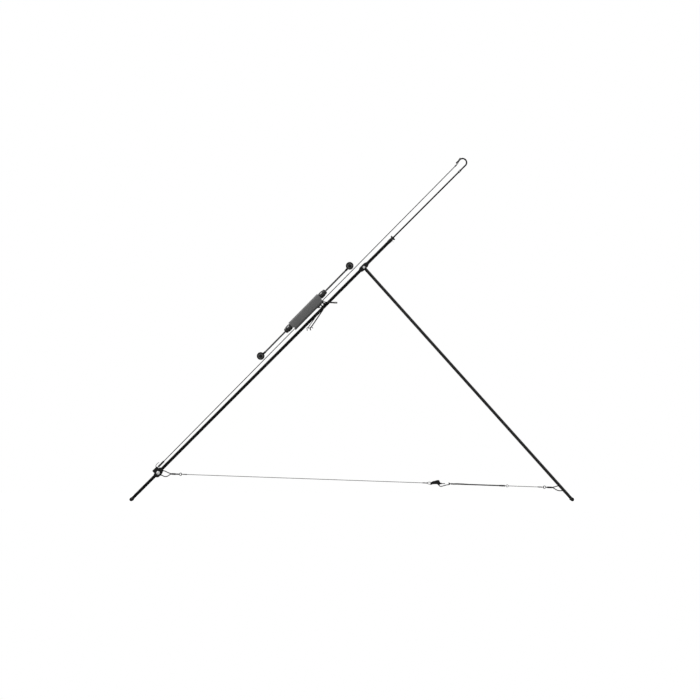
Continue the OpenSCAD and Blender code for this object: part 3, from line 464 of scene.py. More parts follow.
def plated(name, tint, rough=(0.2, 0.38), metallic=1.0, ring=0.1, bump=0.006, specular=0.5):
    """Turned and plated metal: lathe rings, blotches in the plating and worn edges."""
    f = Finish(name, specular=specular, bump=bump)
    rings = f.group(TURNING, {"Distance": f.own("radial", "Fac"), "Ring Width": ring})["Rings"]
    skin = f.group(GRAIN, {"Vector": f.coords, "Grain Size": 0.15, "Patch Size": 1.8})
    base = f.blend(f.spread(skin["Patch"], 0, 1), grey(tint * 0.82, 0.012), grey(tint, -0.012))
    colour = f.blend(f.spread(rings, 0, 0.5, 0.45, 0.75), base, grey(tint * 0.66))
    rough_here = f.t.math("ADD", f.spread(rings, *rough), f.spread(skin["Grain"], -0.03, 0.05))
    height = f.t.math("ADD", rings, f.t.math("MULTIPLY", skin["Grain"], 0.4))
    return f.finish(colour, rough_here, height, metallic)


def rubbery(name, dark=0.016):
    """Foot rubber: matt, mottled and a little dusty on top."""
    f = Finish(name, specular=0.2, bump=0.09)
    skin = f.group(GRAIN, {"Vector": f.coords, "Grain Size": 0.4, "Patch Size": 3.2})
    worn = f.group(WEAR, {"Vector": f.coords, "Width": 0.0005, "Amount": 0.6})
    base = f.blend(f.spread(skin["Patch"], 0, 1), grey(dark * 0.8), grey(dark * 1.7, 0.03))
    colour = f.blend(worn["Worn"], base, grey(0.06, 0.04))
    return f.finish(colour, f.spread(skin["Grain"], 0.66, 0.9), skin["Grain"])


def stranded(name, dark, pale, rough=(0.45, 0.7), metallic=0.0, specular=0.3, sheen=0.0, bump=0.05):
    """Yarn or wire strands, with fibres that follow each strand."""
    f = Finish(name, specular=specular, sheen=sheen, bump=bump)
    yarn = f.group(FIBRE, {"Wrap": f.own("wrap"), "Twist": 1.0})
    base = f.blend(f.spread(yarn["Fibres"], 0, 1, 0.35, 0.65), grey(dark), grey(pale))
    colour = f.blend(f.spread(yarn["Fade"], 0, 0.5), base, grey((dark + pale) * 0.62))
    return f.finish(colour, f.spread(yarn["Fibres"], *rough), yarn["Fibres"], metallic)


def coated_wire(name, dark, pale):
    """Vinyl-coated cable: smooth, slightly waxy, rubbed in spots."""
    f = Finish(name, specular=0.35, bump=0.02)
    skin = f.group(GRAIN, {"Vector": f.coords, "Grain Size": 0.5, "Patch Size": 2.4})
    colour = f.blend(f.spread(skin["Patch"], 0, 1), grey(dark), grey(pale))
    return f.finish(colour, f.spread(skin["Grain"], 0.3, 0.5), skin["Grain"])


def polished(name, dark=0.004):
    """Polished black plastic: deep and glossy, with faint moulding ripples and fine scratches."""
    f = Finish(name, specular=0.3, coat=0.25, bump=0.012)
    skin = f.group(GRAIN, {"Vector": f.coords, "Grain Size": 1.6, "Patch Size": 5.0})
    draw = f.group(DRAW, {"Vector": f.coords, "Line Width": 0.1, "Stretch": 20.0})
    base = f.blend(f.spread(skin["Patch"], 0, 1), grey(dark), grey(dark * 1.8))
    colour = f.blend(f.spread(draw["Scuffs"], 0, 0.4, 0, 1), base, grey(0.05))
    return f.finish(colour, f.spread(skin["Grain"], 0.12, 0.24), skin["Grain"])


slant = math.atan2(mast_way.z, mast_way.x)
leg_slant = math.atan2(leg_way.z, leg_way.x)
line_slant = math.atan2(line_way.z, line_way.x)
finishes = {
    "mast": anodised("black_anodised_mast", slant, dark=0.004, rubbed=0.03, specular=0.03),
    # The leg's black is about twice as light as the mast's. This is painted light: a lit copy of the same anodised
    # tube.
    "leg": anodised("black_anodised_leg_painted_lighter", leg_slant, dark=0.009, rubbed=0.04, specular=0.2),
    "foot_bar": anodised("black_anodised_foot_bar", 0.0),
    "rod": anodised("black_tip_rod", slant, dark=0.004, rubbed=0.03, specular=0.03),
    "carrier": rod_with_painted_highlight("dark_carrier_rod", line_slant, 0.004, 0.05),
    "fitting": moulded("black_nylon_fitting", 0.005, 0.05, specular=0.14),
    "bracket": moulded("black_bracket_paint", 0.005, 0.07, rough=(0.38, 0.55), grain=0.4, specular=0.14, wear=0.8),
    "body": moulded("grey_shuttle_shell", 0.122, 0.2, rough=(0.5, 0.66), grain=0.3, bump=0.04, wear=0.5, patches=1.6),
    "nut": moulded("black_lock_nut", 0.005, 0.04, specular=0.15, rough=(0.32, 0.5)),
    "rubber": rubbery("foot_rubber", 0.007),
    "bolt": plated("zinc_plated_screw", 0.66),
    "band": plated("dull_ferrule_band", 0.16, rough=(0.3, 0.5), metallic=0.8),
    "dark_bolt": plated("black_oxide_screw", 0.006, rough=(0.3, 0.5), metallic=0.2, specular=0.15),
    "crimp": plated("black_crimp_sleeve", 0.008, rough=(0.34, 0.5), metallic=0.2, ring=0.3, specular=0.2),
    "wire": plated("dark_steel_wire", 0.05, rough=(0.3, 0.5), ring=0.4, metallic=0.6, specular=0.2),
    "strands": stranded("steel_strands", 0.02, 0.09, rough=(0.34, 0.52), metallic=0.8, bump=0.02),
    "line": stranded("braided_guide_line", 0.003, 0.018, specular=0.1, sheen=0.03),
    "cord": stranded("braided_stay_cord", 0.004, 0.03, specular=0.15, sheen=0.05),
    "splice": stranded("grey_splice_tail", 0.12, 0.3, specular=0.2),
    "coated": coated_wire("black_coated_cable", 0.004, 0.012),
    "knob": polished("polished_black_knob"),
    "tyre": rubbery("wheel_tyre_rubber", 0.004),
    "disc": moulded("grey_wheel_disc", 0.07, 0.12, rough=(0.4, 0.55), grain=0.25, bump=0.03),
    "hub": moulded("black_wheel_hub", 0.003, 0.02, rough=(0.3, 0.45), specular=0.08),
    "trigger": plated("black_spring_steel", 0.012, rough=(0.36, 0.55), metallic=0.2, ring=0.5, specular=0.2),
    "grip": rubbery("grey_paddle_grip", 0.1),
    "ballast": plated("cast_ballast", 0.3, rough=(0.45, 0.7), ring=0.6),
}


# ---------------------------------------------------------------- making pieces

def add_piece(name, mesh, finish, *nodes):
    """Puts a finished mesh in the scene in place of the CAD nodes, on their body."""
    mesh.name = name
    piece = show(bpy.data.objects.new(name, mesh))
    if mesh.materials:
        mesh.materials.clear()
    for one in finish if isinstance(finish, list) else [finish]:
        mesh.materials.append(finishes[one])
    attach(piece, body_of[nodes[0]])
    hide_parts(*nodes)
    return piece


def soften(mesh, angle=40):
    """Smooth shading that keeps real corners crisp."""
    mesh.shade_smooth()
    mesh.set_sharp_from_angle(angle=math.radians(angle))
    return mesh


def mark(mesh, place):
    """Stores where the lathe rings fall: each vertex's distance from the X axis, with a share of its way along it."""
    into = place.inverted()
    found = mesh.attributes.new("radial", "FLOAT", "POINT")
    for vertex in mesh.vertices:
        p = into @ vertex.co
        found.data[vertex.index].value = math.hypot(p.y, p.z) + RING_SLOPE * p.x
    return mesh


def joined(node):
    """A copy of a CAD node's mesh with its loose triangles joined and flat faces whole."""
    solid = bmesh.new()
    solid.from_mesh(cad[node].data)
    bmesh.ops.remove_doubles(solid, verts=solid.verts, dist=1e-6)
    bmesh.ops.dissolve_limit(solid, angle_limit=math.radians(0.8), verts=solid.verts, edges=solid.edges)
    mesh = bpy.data.meshes.new(node)
    solid.to_mesh(mesh)
    solid.free()
    for layer in ("custom_normal", "sharp_face", "sharp_edge"):
        if layer in mesh.attributes:
            mesh.attributes.remove(mesh.attributes[layer])
    return mesh


def applied(obj):
    """The object's mesh with its modifiers worked in. The object itself is removed."""
    graph = bpy.context.evaluated_depsgraph_get()
    mesh = bpy.data.meshes.new_from_object(obj.evaluated_get(graph))
    bpy.data.objects.remove(obj)
    return mesh


def eased(node, width, segments=2, angle=34):
    """A CAD node's shape with its corners eased by a small round."""
    obj = show(bpy.data.objects.new(node + "_work", joined(node)))
    round_over = obj.modifiers.new("round", "BEVEL")
    round_over.width = width * MM
    round_over.segments = segments
    round_over.limit_method = "ANGLE"
    round_over.angle_limit = math.radians(angle)
    round_over.use_clamp_overlap = True
    round_over.harden_normals = False
    return soften(applied(obj), 38)


def eased_piece(name, node, finish, width, place=None, **options):
    """A piece that is its CAD node with eased corners. Its lathe rings run round the place's X."""
    mesh = eased(node, width, **options)
    if place is None:
        place = along(middle(node), SIDEWAYS.cross(Vector((0, 0, 1))))
    return add_piece(name, mark(mesh, place), finish, node)


def rounded_wire(name, node, finish, swell):
    """A CAD wire made round: subdivided, then swelled, by millimetres, to its full thickness."""
    obj = show(bpy.data.objects.new(node + "_work", joined(node)))
    smooth = obj.modifiers.new("smooth", "SUBSURF")
    smooth.levels = smooth.render_levels = 2
    swelling = obj.modifiers.new("swell", "DISPLACE")
    swelling.strength = swell * MM
    swelling.mid_level = 0
    mesh = applied(obj)
    mesh.shade_smooth()
    return add_piece(name, mark(mesh, along(middle(node), mast_way)), finish, node)


def turned(profile, place, steps=64, ring=False):
    """A lathe-turned solid, or a ring: profile points are (along X, radius) in millimetres."""
    solid = bmesh.new()
    rings = []
    for x, r in profile:
        if r < 1e-6:
            rings.append([solid.verts.new((x * MM, 0, 0))])
        else:
            rings.append([solid.verts.new((x * MM, r * MM * math.cos(math.tau * k / steps),
                                           r * MM * math.sin(math.tau * k / steps))) for k in range(steps)])
    for first, second in zip(rings, rings[1:] + rings[:1] if ring else rings[1:]):
        for k in range(steps):
            nxt = (k + 1) % steps
            face = [first[k % len(first)], first[nxt % len(first)], second[nxt % len(second)], second[k % len(second)]]
            solid.faces.new(list(dict.fromkeys(face)))
    for end in (rings[0], rings[-1]):
        if len(end) > 1 and not ring:
            solid.faces.new(end)
    bmesh.ops.recalc_face_normals(solid, faces=solid.faces)
    mesh = bpy.data.meshes.new("turned")
    solid.to_mesh(mesh)
    solid.free()
    mark(mesh, Matrix())
    mesh.transform(place)
    return soften(mesh, 32)


def filleted(points, radius, cuts=4):
    """An outline with each inner corner rounded, as (along, radius) pairs."""
    out = [points[0]]
    for before, corner, after in zip(points, points[1:], points[2:]):
        a, c, b = Vector(before), Vector(corner), Vector(after)
        reach_in = min(radius, (a - c).length * 0.45, (b - c).length * 0.45)
        start = c + (a - c).normalized() * reach_in
        stop = c + (b - c).normalized() * reach_in
        for k in range(cuts + 1):
            f = k / cuts
            out.append(tuple(start.lerp(c, f).lerp(c.lerp(stop, f), f)))
    return out + [points[-1]]


def merged(meshes):
    """Several meshes as one, each keeping its place in the list of finishes."""
    whole = bmesh.new()
    for index, mesh in enumerate(meshes):
        before = len(whole.faces)
        whole.from_mesh(mesh)
        whole.faces.ensure_lookup_table()
        for face in whole.faces[before:]:
            face.material_index = index
    mesh = bpy.data.meshes.new("merged")
    whole.to_mesh(mesh)
    whole.free()
    return mesh


def one_finish(mesh):
    """The mesh with all of its faces in its first finish."""
    for face in mesh.polygons:
        face.material_index = 0
    return mesh


# ---------------------------------------------------------------- geometry node trees

def make_strands():
    """Strands laid or braided along a path. One strand with no lay is a plain wire."""
    group, start, end = new_group(
        "Laid strands", "GeometryNodeTree",
        [("Geometry", SHAPE, None), ("Strands", WHOLE, 3), ("Lay Radius", FLOAT, 0.0005),
         ("Strand Radius", FLOAT, 0.0004), ("Pitch", FLOAT, 0.006), ("Weave", FLOAT, 0.0), ("Step", FLOAT, 0.0005),
         ("Sides", WHOLE, 6), ("Material", MATERIAL, None)],
        [("Geometry", SHAPE)])
    t = Tree(group)
    step = t.add("GeometryNodeResampleCurve", {"Curve": start.outputs["Geometry"], "Length": start.outputs["Step"]},
                 mode="LENGTH")
    copies = t.add("GeometryNodeDuplicateElements", {"Geometry": step.outputs[0], "Amount": start.outputs["Strands"]},
                   domain="SPLINE")
    index = copies.outputs["Duplicate Index"]
    odd = t.math("MODULO", index, 2.0)
    braided = t.math("GREATER_THAN", start.outputs["Weave"], 0.0)
    hand = t.math("SUBTRACT", 1.0, t.math("MULTIPLY", t.math("MULTIPLY", odd, braided), 2.0))
    length = t.add("GeometryNodeSplineParameter").outputs["Length"]
    travel = t.math("MULTIPLY", t.math("DIVIDE", length, start.outputs["Pitch"]), math.tau)
    share = t.math("DIVIDE", t.math("MULTIPLY", index, math.tau), start.outputs["Strands"])
    angle = t.math("ADD", t.math("MULTIPLY", travel, hand), share)
    beat = t.math("COSINE", t.math("MULTIPLY", t.math("MULTIPLY", travel, 0.5), start.outputs["Strands"]))
    lift = t.math("MULTIPLY", t.math("MULTIPLY", beat, hand), start.outputs["Weave"])
    radius = t.math("ADD", start.outputs["Lay Radius"], lift)
    across = t.add("GeometryNodeInputNormal").outputs[0]
    tangent = t.add("GeometryNodeInputTangent").outputs[0]
    other = t.vector("CROSS_PRODUCT", tangent, across)
    offset = t.vector("ADD", t.vector("SCALE", across, scale=t.math("MULTIPLY", t.math("COSINE", angle), radius)),
                      t.vector("SCALE", other, scale=t.math("MULTIPLY", t.math("SINE", angle), radius)))
    moved = t.add("GeometryNodeSetPosition", {"Geometry": copies.outputs[0], "Offset": offset})
    kept = t.add("GeometryNodeCaptureAttribute", {"Geometry": moved.outputs[0]})
    kept.capture_items.new("FLOAT", "Along")
    t.put(kept.inputs["Along"], t.add("GeometryNodeSplineParameter").outputs["Length"])
    ring = t.add("GeometryNodeCurvePrimitiveCircle", {"Resolution": start.outputs["Sides"],
                                                      "Radius": start.outputs["Strand Radius"]}, mode="RADIUS")
    ring_kept = t.add("GeometryNodeCaptureAttribute", {"Geometry": ring.outputs[0]})
    ring_kept.capture_items.new("FLOAT", "Round")
    t.put(ring_kept.inputs["Round"], t.add("GeometryNodeSplineParameter").outputs["Factor"])
    tube = t.add("GeometryNodeCurveToMesh", {"Curve": kept.outputs[0], "Profile Curve": ring_kept.outputs[0],
                                             "Fill Caps": True})
    turn = t.math("MULTIPLY", ring_kept.outputs["Round"], math.tau)
    wrap = t.add("ShaderNodeCombineXYZ", {0: t.math("COSINE", turn), 1: t.math("SINE", turn),
                                          2: kept.outputs["Along"]})
    stored = t.add("GeometryNodeStoreNamedAttribute", {"Geometry": tube.outputs[0], "Name": "wrap",
                                                       "Value": wrap.outputs[0]},
                   data_type="FLOAT_VECTOR", domain="POINT")
    smooth = t.add("GeometryNodeSetShadeSmooth", {"Geometry": stored.outputs[0], "Shade Smooth": True})
    real = t.add("GeometryNodeRealizeInstances", {"Geometry": smooth.outputs[0]})
    coloured = t.add("GeometryNodeSetMaterial", {"Geometry": real.outputs[0], "Material": start.outputs["Material"]})
    t.put(end.inputs[0], coloured.outputs[0])
    return group


def make_repeat():
    """Copies of the object's own mesh, each turned about X and moved one step on."""
    group, start, end = new_group(
        "Repeated", "GeometryNodeTree",
        [("Geometry", SHAPE, None), ("Count", WHOLE, 6), ("Turn", FLOAT, 0.0),
         ("Step", VECTOR, None), ("Size Change", FLOAT, 0.0), ("Seed", WHOLE, 3),
         ("Material", MATERIAL, None)],
        [("Geometry", SHAPE)])
    t = Tree(group)
    spots = t.add("GeometryNodePoints", {"Count": start.outputs["Count"], "Position": (0, 0, 0)})
    index = t.add("GeometryNodeInputIndex").outputs[0]
    moved = t.add("GeometryNodeSetPosition", {"Geometry": spots.outputs[0],
                                              "Offset": t.vector("SCALE", start.outputs["Step"], scale=index)})
    turn = t.add("ShaderNodeCombineXYZ", {0: t.math("MULTIPLY", index, start.outputs["Turn"])})
    chance = t.add("FunctionNodeRandomValue", {"Seed": start.outputs["Seed"]}, data_type="FLOAT")
    grow = t.math("ADD", 1.0, t.math("MULTIPLY", chance.outputs[1], start.outputs["Size Change"]))
    copies = t.add("GeometryNodeInstanceOnPoints", {"Points": moved.outputs[0], "Instance": start.outputs["Geometry"],
                                                    "Rotation": turn.outputs[0], "Scale": grow})
    real = t.add("GeometryNodeRealizeInstances", {"Geometry": copies.outputs[0]})
    coloured = t.add("GeometryNodeSetMaterial", {"Geometry": real.outputs[0], "Material": start.outputs["Material"]})
    t.put(end.inputs[0], coloured.outputs[0])
    return group


STRANDS = make_strands()
REPEAT = make_repeat()


def grown(data, tree, place, **values):
    """Runs a tree on a curve or mesh and returns the result as a plain mesh, put in place."""
    obj = bpy.data.objects.new("work", data)
    modifier = obj.modifiers.new("tree", "NODES")
    modifier.node_group = tree
    sockets = {item.name: item.identifier for item in tree.interface.items_tree if item.in_out == "INPUT"}
    for name, value in values.items():
        modifier[sockets[name.replace("_", " ")]] = value
    mesh = applied(show(obj))
    mesh.transform(place)
    return mesh


def path(points, closed=False):
    """A curve through points in millimetres."""
    curve = bpy.data.curves.new("path", "CURVE")
    curve.dimensions = "3D"
    spline = curve.splines.new("POLY")
    spline.points.add(len(points) - 1)
    for point, (x, y, z) in zip(spline.points, points):
        point.co = (x * MM, y * MM, z * MM, 1)
    spline.use_cyclic_u = closed
    return curve


def strands(points, place, finish, count=1, lay=0.0, strand=0.3, pitch=6.0, weave=0.0, step=0.5, sides=6, closed=False):
    """Strands along a path in millimetres. On a closed path they make whole turns, so that each meets itself."""
    if closed:
        around = sum(math.dist(a, b) for a, b in zip(points, points[1:] + points[:1]))
        pitch = around / max(1, round(around / pitch))
    return grown(path(points, closed), STRANDS, place, Strands=count, Lay_Radius=lay * MM, Strand_Radius=strand * MM,
                 Pitch=pitch * MM, Weave=weave * MM, Step=step * MM, Sides=sides, Material=finishes[finish])


def arc(centre, radius, start, stop, count, plane="xz"):
    """Points of an arc in millimetres, angles in degrees."""
    out = []
    for k in range(count + 1):
        a = math.radians(start + (stop - start) * k / count)
        u, w = radius * math.cos(a), radius * math.sin(a)
        out.append((centre[0] + u, centre[1] + (w if plane == "xy" else 0), centre[2] + (w if plane == "xz" else 0)))
    return out


def in_mm(box):
    """A box's corners in millimetres."""
    return [corner / MM for corner in box]


# ---------------------------------------------------------------- stand tubes and fittings

for node, finish in {"mast_tube": "mast", "leg_tube": "leg", "mast_foot_bar": "foot_bar", "leg_foot_bar": "foot_bar",
                     "tip_rod": "rod", "tip_crook": "rod", "carrier_rod": "carrier", "ballast": "ballast",
                     "rod_glide": "nut"}.items():
    cad[node].material_slots[0].material = finishes[finish]

eased_piece("mast_foot_socket", "mast_foot_hub", "fitting", 0.3)
eased_piece("leg_foot_socket", "leg_foot_hub", "fitting", 0.3)
eased_piece("line_anchor_clamp", "anchor_clamp", "bracket", 0.45, segments=3)
eased_piece("anchor_cap_screw", "anchor_screw", "bolt", 0.18)
eased_piece("anchor_hex_nut", "anchor_nut", "bolt", 0.2)
eased_piece("hinge_block", "hinge_bracket", "bracket", 0.45, segments=3)
eased_piece("hinge_block_screw", "bracket_screw", "bolt", 0.15)
eased_piece("hinge_cap_screw", "hinge_screw", "bolt", 0.18)
eased_piece("hinge_plain_washer", "hinge_washer", "bolt", 0.12)
eased_piece("leg_hinge_eye", "leg_eye", "bracket", 0.35)


def foot_caps(name, node):
    """Two ribbed rubber caps with rounded ends on a foot bar."""
    low, high = in_mm(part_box(node))
    end = high.y
    r = (high.x - low.x) / 2
    start = min(abs(v.co.y) for v in cad[node].data.vertices) / MM
    ribs = []
    for k in range(4):
        at = start + 2.2 + k * 2.6
        ribs += [(at, r - 0.02), (at + 0.3, r - 0.42), (at + 1.0, r - 0.42), (at + 1.3, r - 0.02)]
    profile = [(start, r - 1.15), (start, r - 0.5), (start + 0.5, r - 0.05)] + ribs + [
        (end - 1.6, r - 0.02), (end - 0.7, r - 0.5), (end - 0.2, r - 1.5), (end, r - 2.6), (end, 0)]
    centre = middle(node)
    centre.y = 0
    caps = []
    for side in (1, -1):
        place = Matrix.Translation(centre) @ Matrix.Rotation(side * math.pi / 2, 4, "Z")
        caps.append(turned([(start, 0)] + filleted(profile, 0.25, 2), place))
    return add_piece(name, one_finish(merged(caps)), "rubber", node)


foot_caps("mast_rubber_feet", "mast_foot_caps")
foot_caps("leg_rubber_feet", "leg_foot_caps")


# ---------------------------------------------------------------- rod lock and tip

def ridges(length, radius, size, count, place, finish):
    """Fine rounded ridges set round an axis, each lying along it."""
    rib = turned(filleted([(0, 0), (0, size), (length, size), (length, 0)], size * 0.8, 2),
                 Matrix.Translation((0, 0, radius * MM)), steps=6)
    return grown(rib, REPEAT, place, Count=count, Turn=math.tau / count, Material=finishes[finish])


def lock_pieces():
    """The knurled collar and the ribbed nut that clamp the tip rod."""
    low, high = in_mm(reach("lock_collar", MAST))
    collar = eased("lock_collar", 0.22)
    knurl = ridges(high.x - low.x - 4.2, high.z - 0.05, 0.16, 40, MAST @ Matrix.Translation(((low.x + 1.9) * MM, 0, 0)),
                   "fitting")
    add_piece("rod_lock_collar", one_finish(merged([mark(collar, MAST), knurl])), "fitting", "lock_collar")
    low, high = in_mm(reach("lock_nut", MAST))
    nut = eased("lock_nut", 0.2)
    barrel = high.y
    grip = ridges(1.7, barrel - 0.06, 0.16, 36, MAST @ Matrix.Translation(((low.x + 0.2) * MM, 0, 0)), "nut")
    add_piece("rod_lock_nut", one_finish(merged([mark(nut, MAST), grip])), "nut", "lock_nut")


lock_pieces()
eased_piece("collar_stop_pin", "collar_pin", "bolt", 0.08)
eased_piece("tip_ferrule", "rod_ferrule", "fitting", 0.18, MAST)
eased_piece("ferrule_dull_band", "ferrule_band", "band", 0.06, MAST)


def crook_end():
    """A rounded bead on the crook's return arm."""
    low, high = in_mm(reach("crook_bead", MAST))
    r = (high.y - low.y) / 2
    place = MAST @ Matrix.Translation((0, 0, (low.z + high.z) / 2 * MM))
    profile = [(low.x, 0), (low.x, r * 0.5), (low.x + 0.5, r * 0.86), (low.x + 1.3, r), (high.x - 0.5, r),
               (high.x, r * 0.86), (high.x, 0)]
    add_piece("crook_end_bead", turned(filleted(profile, 0.3, 3), place), "nut", "crook_bead")


crook_end()


# ---------------------------------------------------------------- guide line

def pressed_sleeve(start, stop, r, place, bands):
    """A crimp sleeve with pressed bands round it."""
    profile = [(start, 0), (start, r - 0.12), (start + 0.15, r)]
    for at in bands:
        profile += [(at - 0.7, r), (at - 0.35, r - 0.22), (at + 0.35, r - 0.22), (at + 0.7, r)]
    profile += [(stop - 0.15, r), (stop, r - 0.12), (stop, 0)]
    return turned(filleted(profile, 0.12, 2), place, steps=40)


def guide_line():
    """The braided line beside the mast. The real line shortens as the tip rod slides in; here it is built at one
    length.
    """
    r = (line_high.y - line_low.y) / 2 / MM
    strand = r * 0.33
    ends = [(0.0, 0, 0), (line_length / MM, 0, 0)]
    braid = strands(ends, LINE, "line", count=8, lay=r - strand - 0.1, strand=strand, pitch=11.0, weave=0.1,
                    step=0.46, sides=5)
    core = strands(ends, LINE, "line", strand=r * 0.5, step=20, sides=12)
    line = add_piece("braided_guide_line", one_finish(merged([braid, core])), "line", "guide_line")
    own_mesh(line)


guide_line()
low, high = in_mm(reach("line_sleeve", LINE))
sleeve = pressed_sleeve(low.x, high.x, high.z, LINE, [low.x + 3.2, low.x + 8, low.x + 12.8])
add_piece("line_anchor_sleeve", sleeve, "crimp", "line_sleeve")
low, high = in_mm(reach("line_crimp", LINE))
add_piece("line_end_crimp", pressed_sleeve(low.x, high.x, high.z, LINE, [(low.x + high.x) / 2]), "crimp", "line_crimp")
rounded_wire("line_tail_wire", "line_tag", "wire", 0.15)
cad["line_eye"].material_slots[0].material = finishes["wire"]


# ---------------------------------------------------------------- stay

rounded_wire("leg_cable_loop", "stay_leg_loop", "coated", 0.42)
rounded_wire("mast_cable_loop", "stay_mast_loop", "coated", 0.42)
eased_piece("leg_loop_crimp", "stay_leg_crimp", "crimp", 0.2, STAY)
eased_piece("mast_loop_crimp", "stay_mast_crimp", "crimp", 0.2, STAY)


def link_path(centre, radius, count=28):
    """A closed round link in the stay's own XY plane."""
    return arc((centre, 0, 0), radius, 0, 360 * (count - 1) / count, count - 1, "xy")


def wire_rope(points, **options):
    """Twisted steel wire of the stay: six strands."""
    return strands(points, STAY, "strands", count=6, lay=0.38, strand=0.24, **options)


def long_wire():
    """Twisted steel wire of the long part, with its end turned back as a link through the mast ring."""
    low, high = in_mm(reach("stay_wire", STAY))
    crimp_low, crimp_high = in_mm(reach("stay_crimps", STAY))
    link = high.y * 0.76
    centre = low.x + high.y
    rope = wire_rope([(centre + link, 0, 0), (high.x, 0, 0)], pitch=7.0, step=0.7)
    core = strands([(centre + link, 0, 0), (high.x, 0, 0)], STAY, "strands", strand=0.2, step=20)
    loop = wire_rope(link_path(centre, link), pitch=5.0, step=0.3, closed=True)
    add_piece("twisted_stay_wire", one_finish(merged([rope, core, loop])), "strands", "stay_wire")
    r = crimp_high.z - 0.05
    near = pressed_sleeve(crimp_low.x, crimp_low.x + 7.9, r, STAY, [crimp_low.x + 2.4, crimp_low.x + 5.5])
    far = pressed_sleeve(crimp_high.x - 9, crimp_high.x, r, STAY, [crimp_high.x - 6.4, crimp_high.x - 2.8])
    add_piece("stay_wire_crimps", one_finish(merged([near, far])), "crimp", "stay_crimps")


long_wire()
rounded_wire("clip_wire_eye", "clip_eye", "wire", 0.15)
rounded_wire("clip_snap_wire", "clip_snap", "coated", 0.32)
eased_piece("clip_shell", "clip_body", "nut", 0.4, STAY, segments=3)
eased_piece("clip_tail_pin", "clip_tail", "wire", 0.2, STAY)


def short_part():
    """Braided cord with a whipped eye, its crimps, and the twisted lead to the leg ring."""
    low, high = in_mm(reach("stay_cord", STAY))
    r = 1.3
    eye = strands(link_path(low.x + 2.4, 1.75), STAY, "cord", count=4, lay=0.36, strand=0.34, pitch=4.0, step=0.4,
                  sides=6, closed=True)
    start = low.x + 4.3
    strand = r * 0.31
    cover = strands([(start, 0, 0), (high.x, 0, 0)], STAY, "cord", count=8, lay=r - strand - 0.1, strand=strand,
                    pitch=11.0, weave=0.1, step=0.45, sides=6)
    core = strands([(start, 0, 0), (high.x, 0, 0)], STAY, "cord", strand=r * 0.6, step=20, sides=12)
    whipping = strands([(start + 0.4, 0, 0), (start + 9.5, 0, 0)], STAY, "cord", lay=r - 0.02, strand=0.2, pitch=0.42,
                       step=0.03, sides=6)
    tail = strands([(start + 8, 0, r - 0.3), (start + 12, 0, r + 0.1), (start + 24, 0, r + 0.05),
                    (start + 36, 0, r - 0.5)], STAY, "splice", count=3, lay=0.25, strand=0.24, pitch=5.0, step=0.5)
    add_piece("braided_stay_cord", merged([one_finish(merged([eye, cover, core, whipping])), tail]),
              ["cord", "splice"], "stay_cord")
    crimp_low, crimp_high = in_mm(reach("cord_crimps", STAY))
    sleeve_r = crimp_high.z - 0.05
    big = pressed_sleeve(crimp_low.x, crimp_low.x + 11, sleeve_r, STAY, [crimp_low.x + 3, crimp_low.x + 8])
    small = pressed_sleeve(crimp_high.x - 8.9, crimp_high.x, 1.1, STAY, [crimp_high.x - 6.2, crimp_high.x - 2.8])
    add_piece("stay_cord_crimps", one_finish(merged([big, small])), "crimp", "cord_crimps")
    low, high = in_mm(reach("stay_lead", STAY))
    link = high.y * 0.76
    centre = high.x - high.y
    ring_r = high.z * 0.8
    ring_at = low.x + 2.2 + ring_r
    shank = strands([(low.x, 0, 0), (ring_at - ring_r, 0, 0)], STAY, "strands", count=5, lay=0.5, strand=0.38,
                    pitch=5.0, step=0.4)
    ring = strands(arc((ring_at, 0, 0), ring_r, 0, 350, 35), STAY, "strands", strand=0.55, step=0.3, sides=12,
                   closed=True)
    lead = wire_rope([(ring_at + ring_r, 0, 0), (centre - link, 0, 0)], pitch=7.0, step=0.6)
    loop = wire_rope(link_path(centre, link), pitch=5.0, step=0.3, closed=True)
    add_piece("twisted_stay_lead", one_finish(merged([shank, ring, lead, loop])), "strands", "stay_lead")


short_part()


# ---------------------------------------------------------------- shuttle

eased_piece("shuttle_shell_near", "shell_near", "body", 0.45, segments=3)
eased_piece("shuttle_shell_far", "shell_far", "body", 0.45, segments=3)
eased_piece("shuttle_shell_screws", "shell_screws", "bolt", 0.12)
eased_piece("wheel_arms", "axle_arms", "fitting", 0.3)


def end_knobs():
    """Two polished knobs: a full barrel, a neck and a button."""
    low, high = in_mm(reach("end_knobs", SHUTTLE))
    carrier_z = (low.z + high.z) / 2
    start, end = half_body / MM, high.x
    r = (high.y - low.y) / 2
    bar = start + (end - start) * 0.68
    profile = [(start, 0), (start, r - 1.6), (start + 0.8, r - 0.6), (start + 2.4, r - 0.1), (start + 5.0, r),
               (bar - 3.0, r - 0.05), (bar - 1.0, r - 0.35), (bar - 0.2, r - 0.75), (bar + 0.2, r - 1.3),
               (bar + 0.6, r - 1.3), (bar + 1.0, r - 0.85), (bar + 1.6, r - 0.8), (end - 2.2, r - 1.15),
               (end - 0.6, r - 2.0), (end, r - 3.0), (end, 0)]
    knobs = []
    for side in (1, -1):
        place = SHUTTLE @ Matrix.Translation((0, 0, carrier_z * MM))
        if side < 0:
            place @= Matrix.Rotation(math.pi, 4, "Z")
        knobs.append(turned(filleted(profile, 0.6, 4), place, steps=72))
    add_piece("shuttle_end_knobs", one_finish(merged(knobs)), "knob", "end_knobs")


end_knobs()


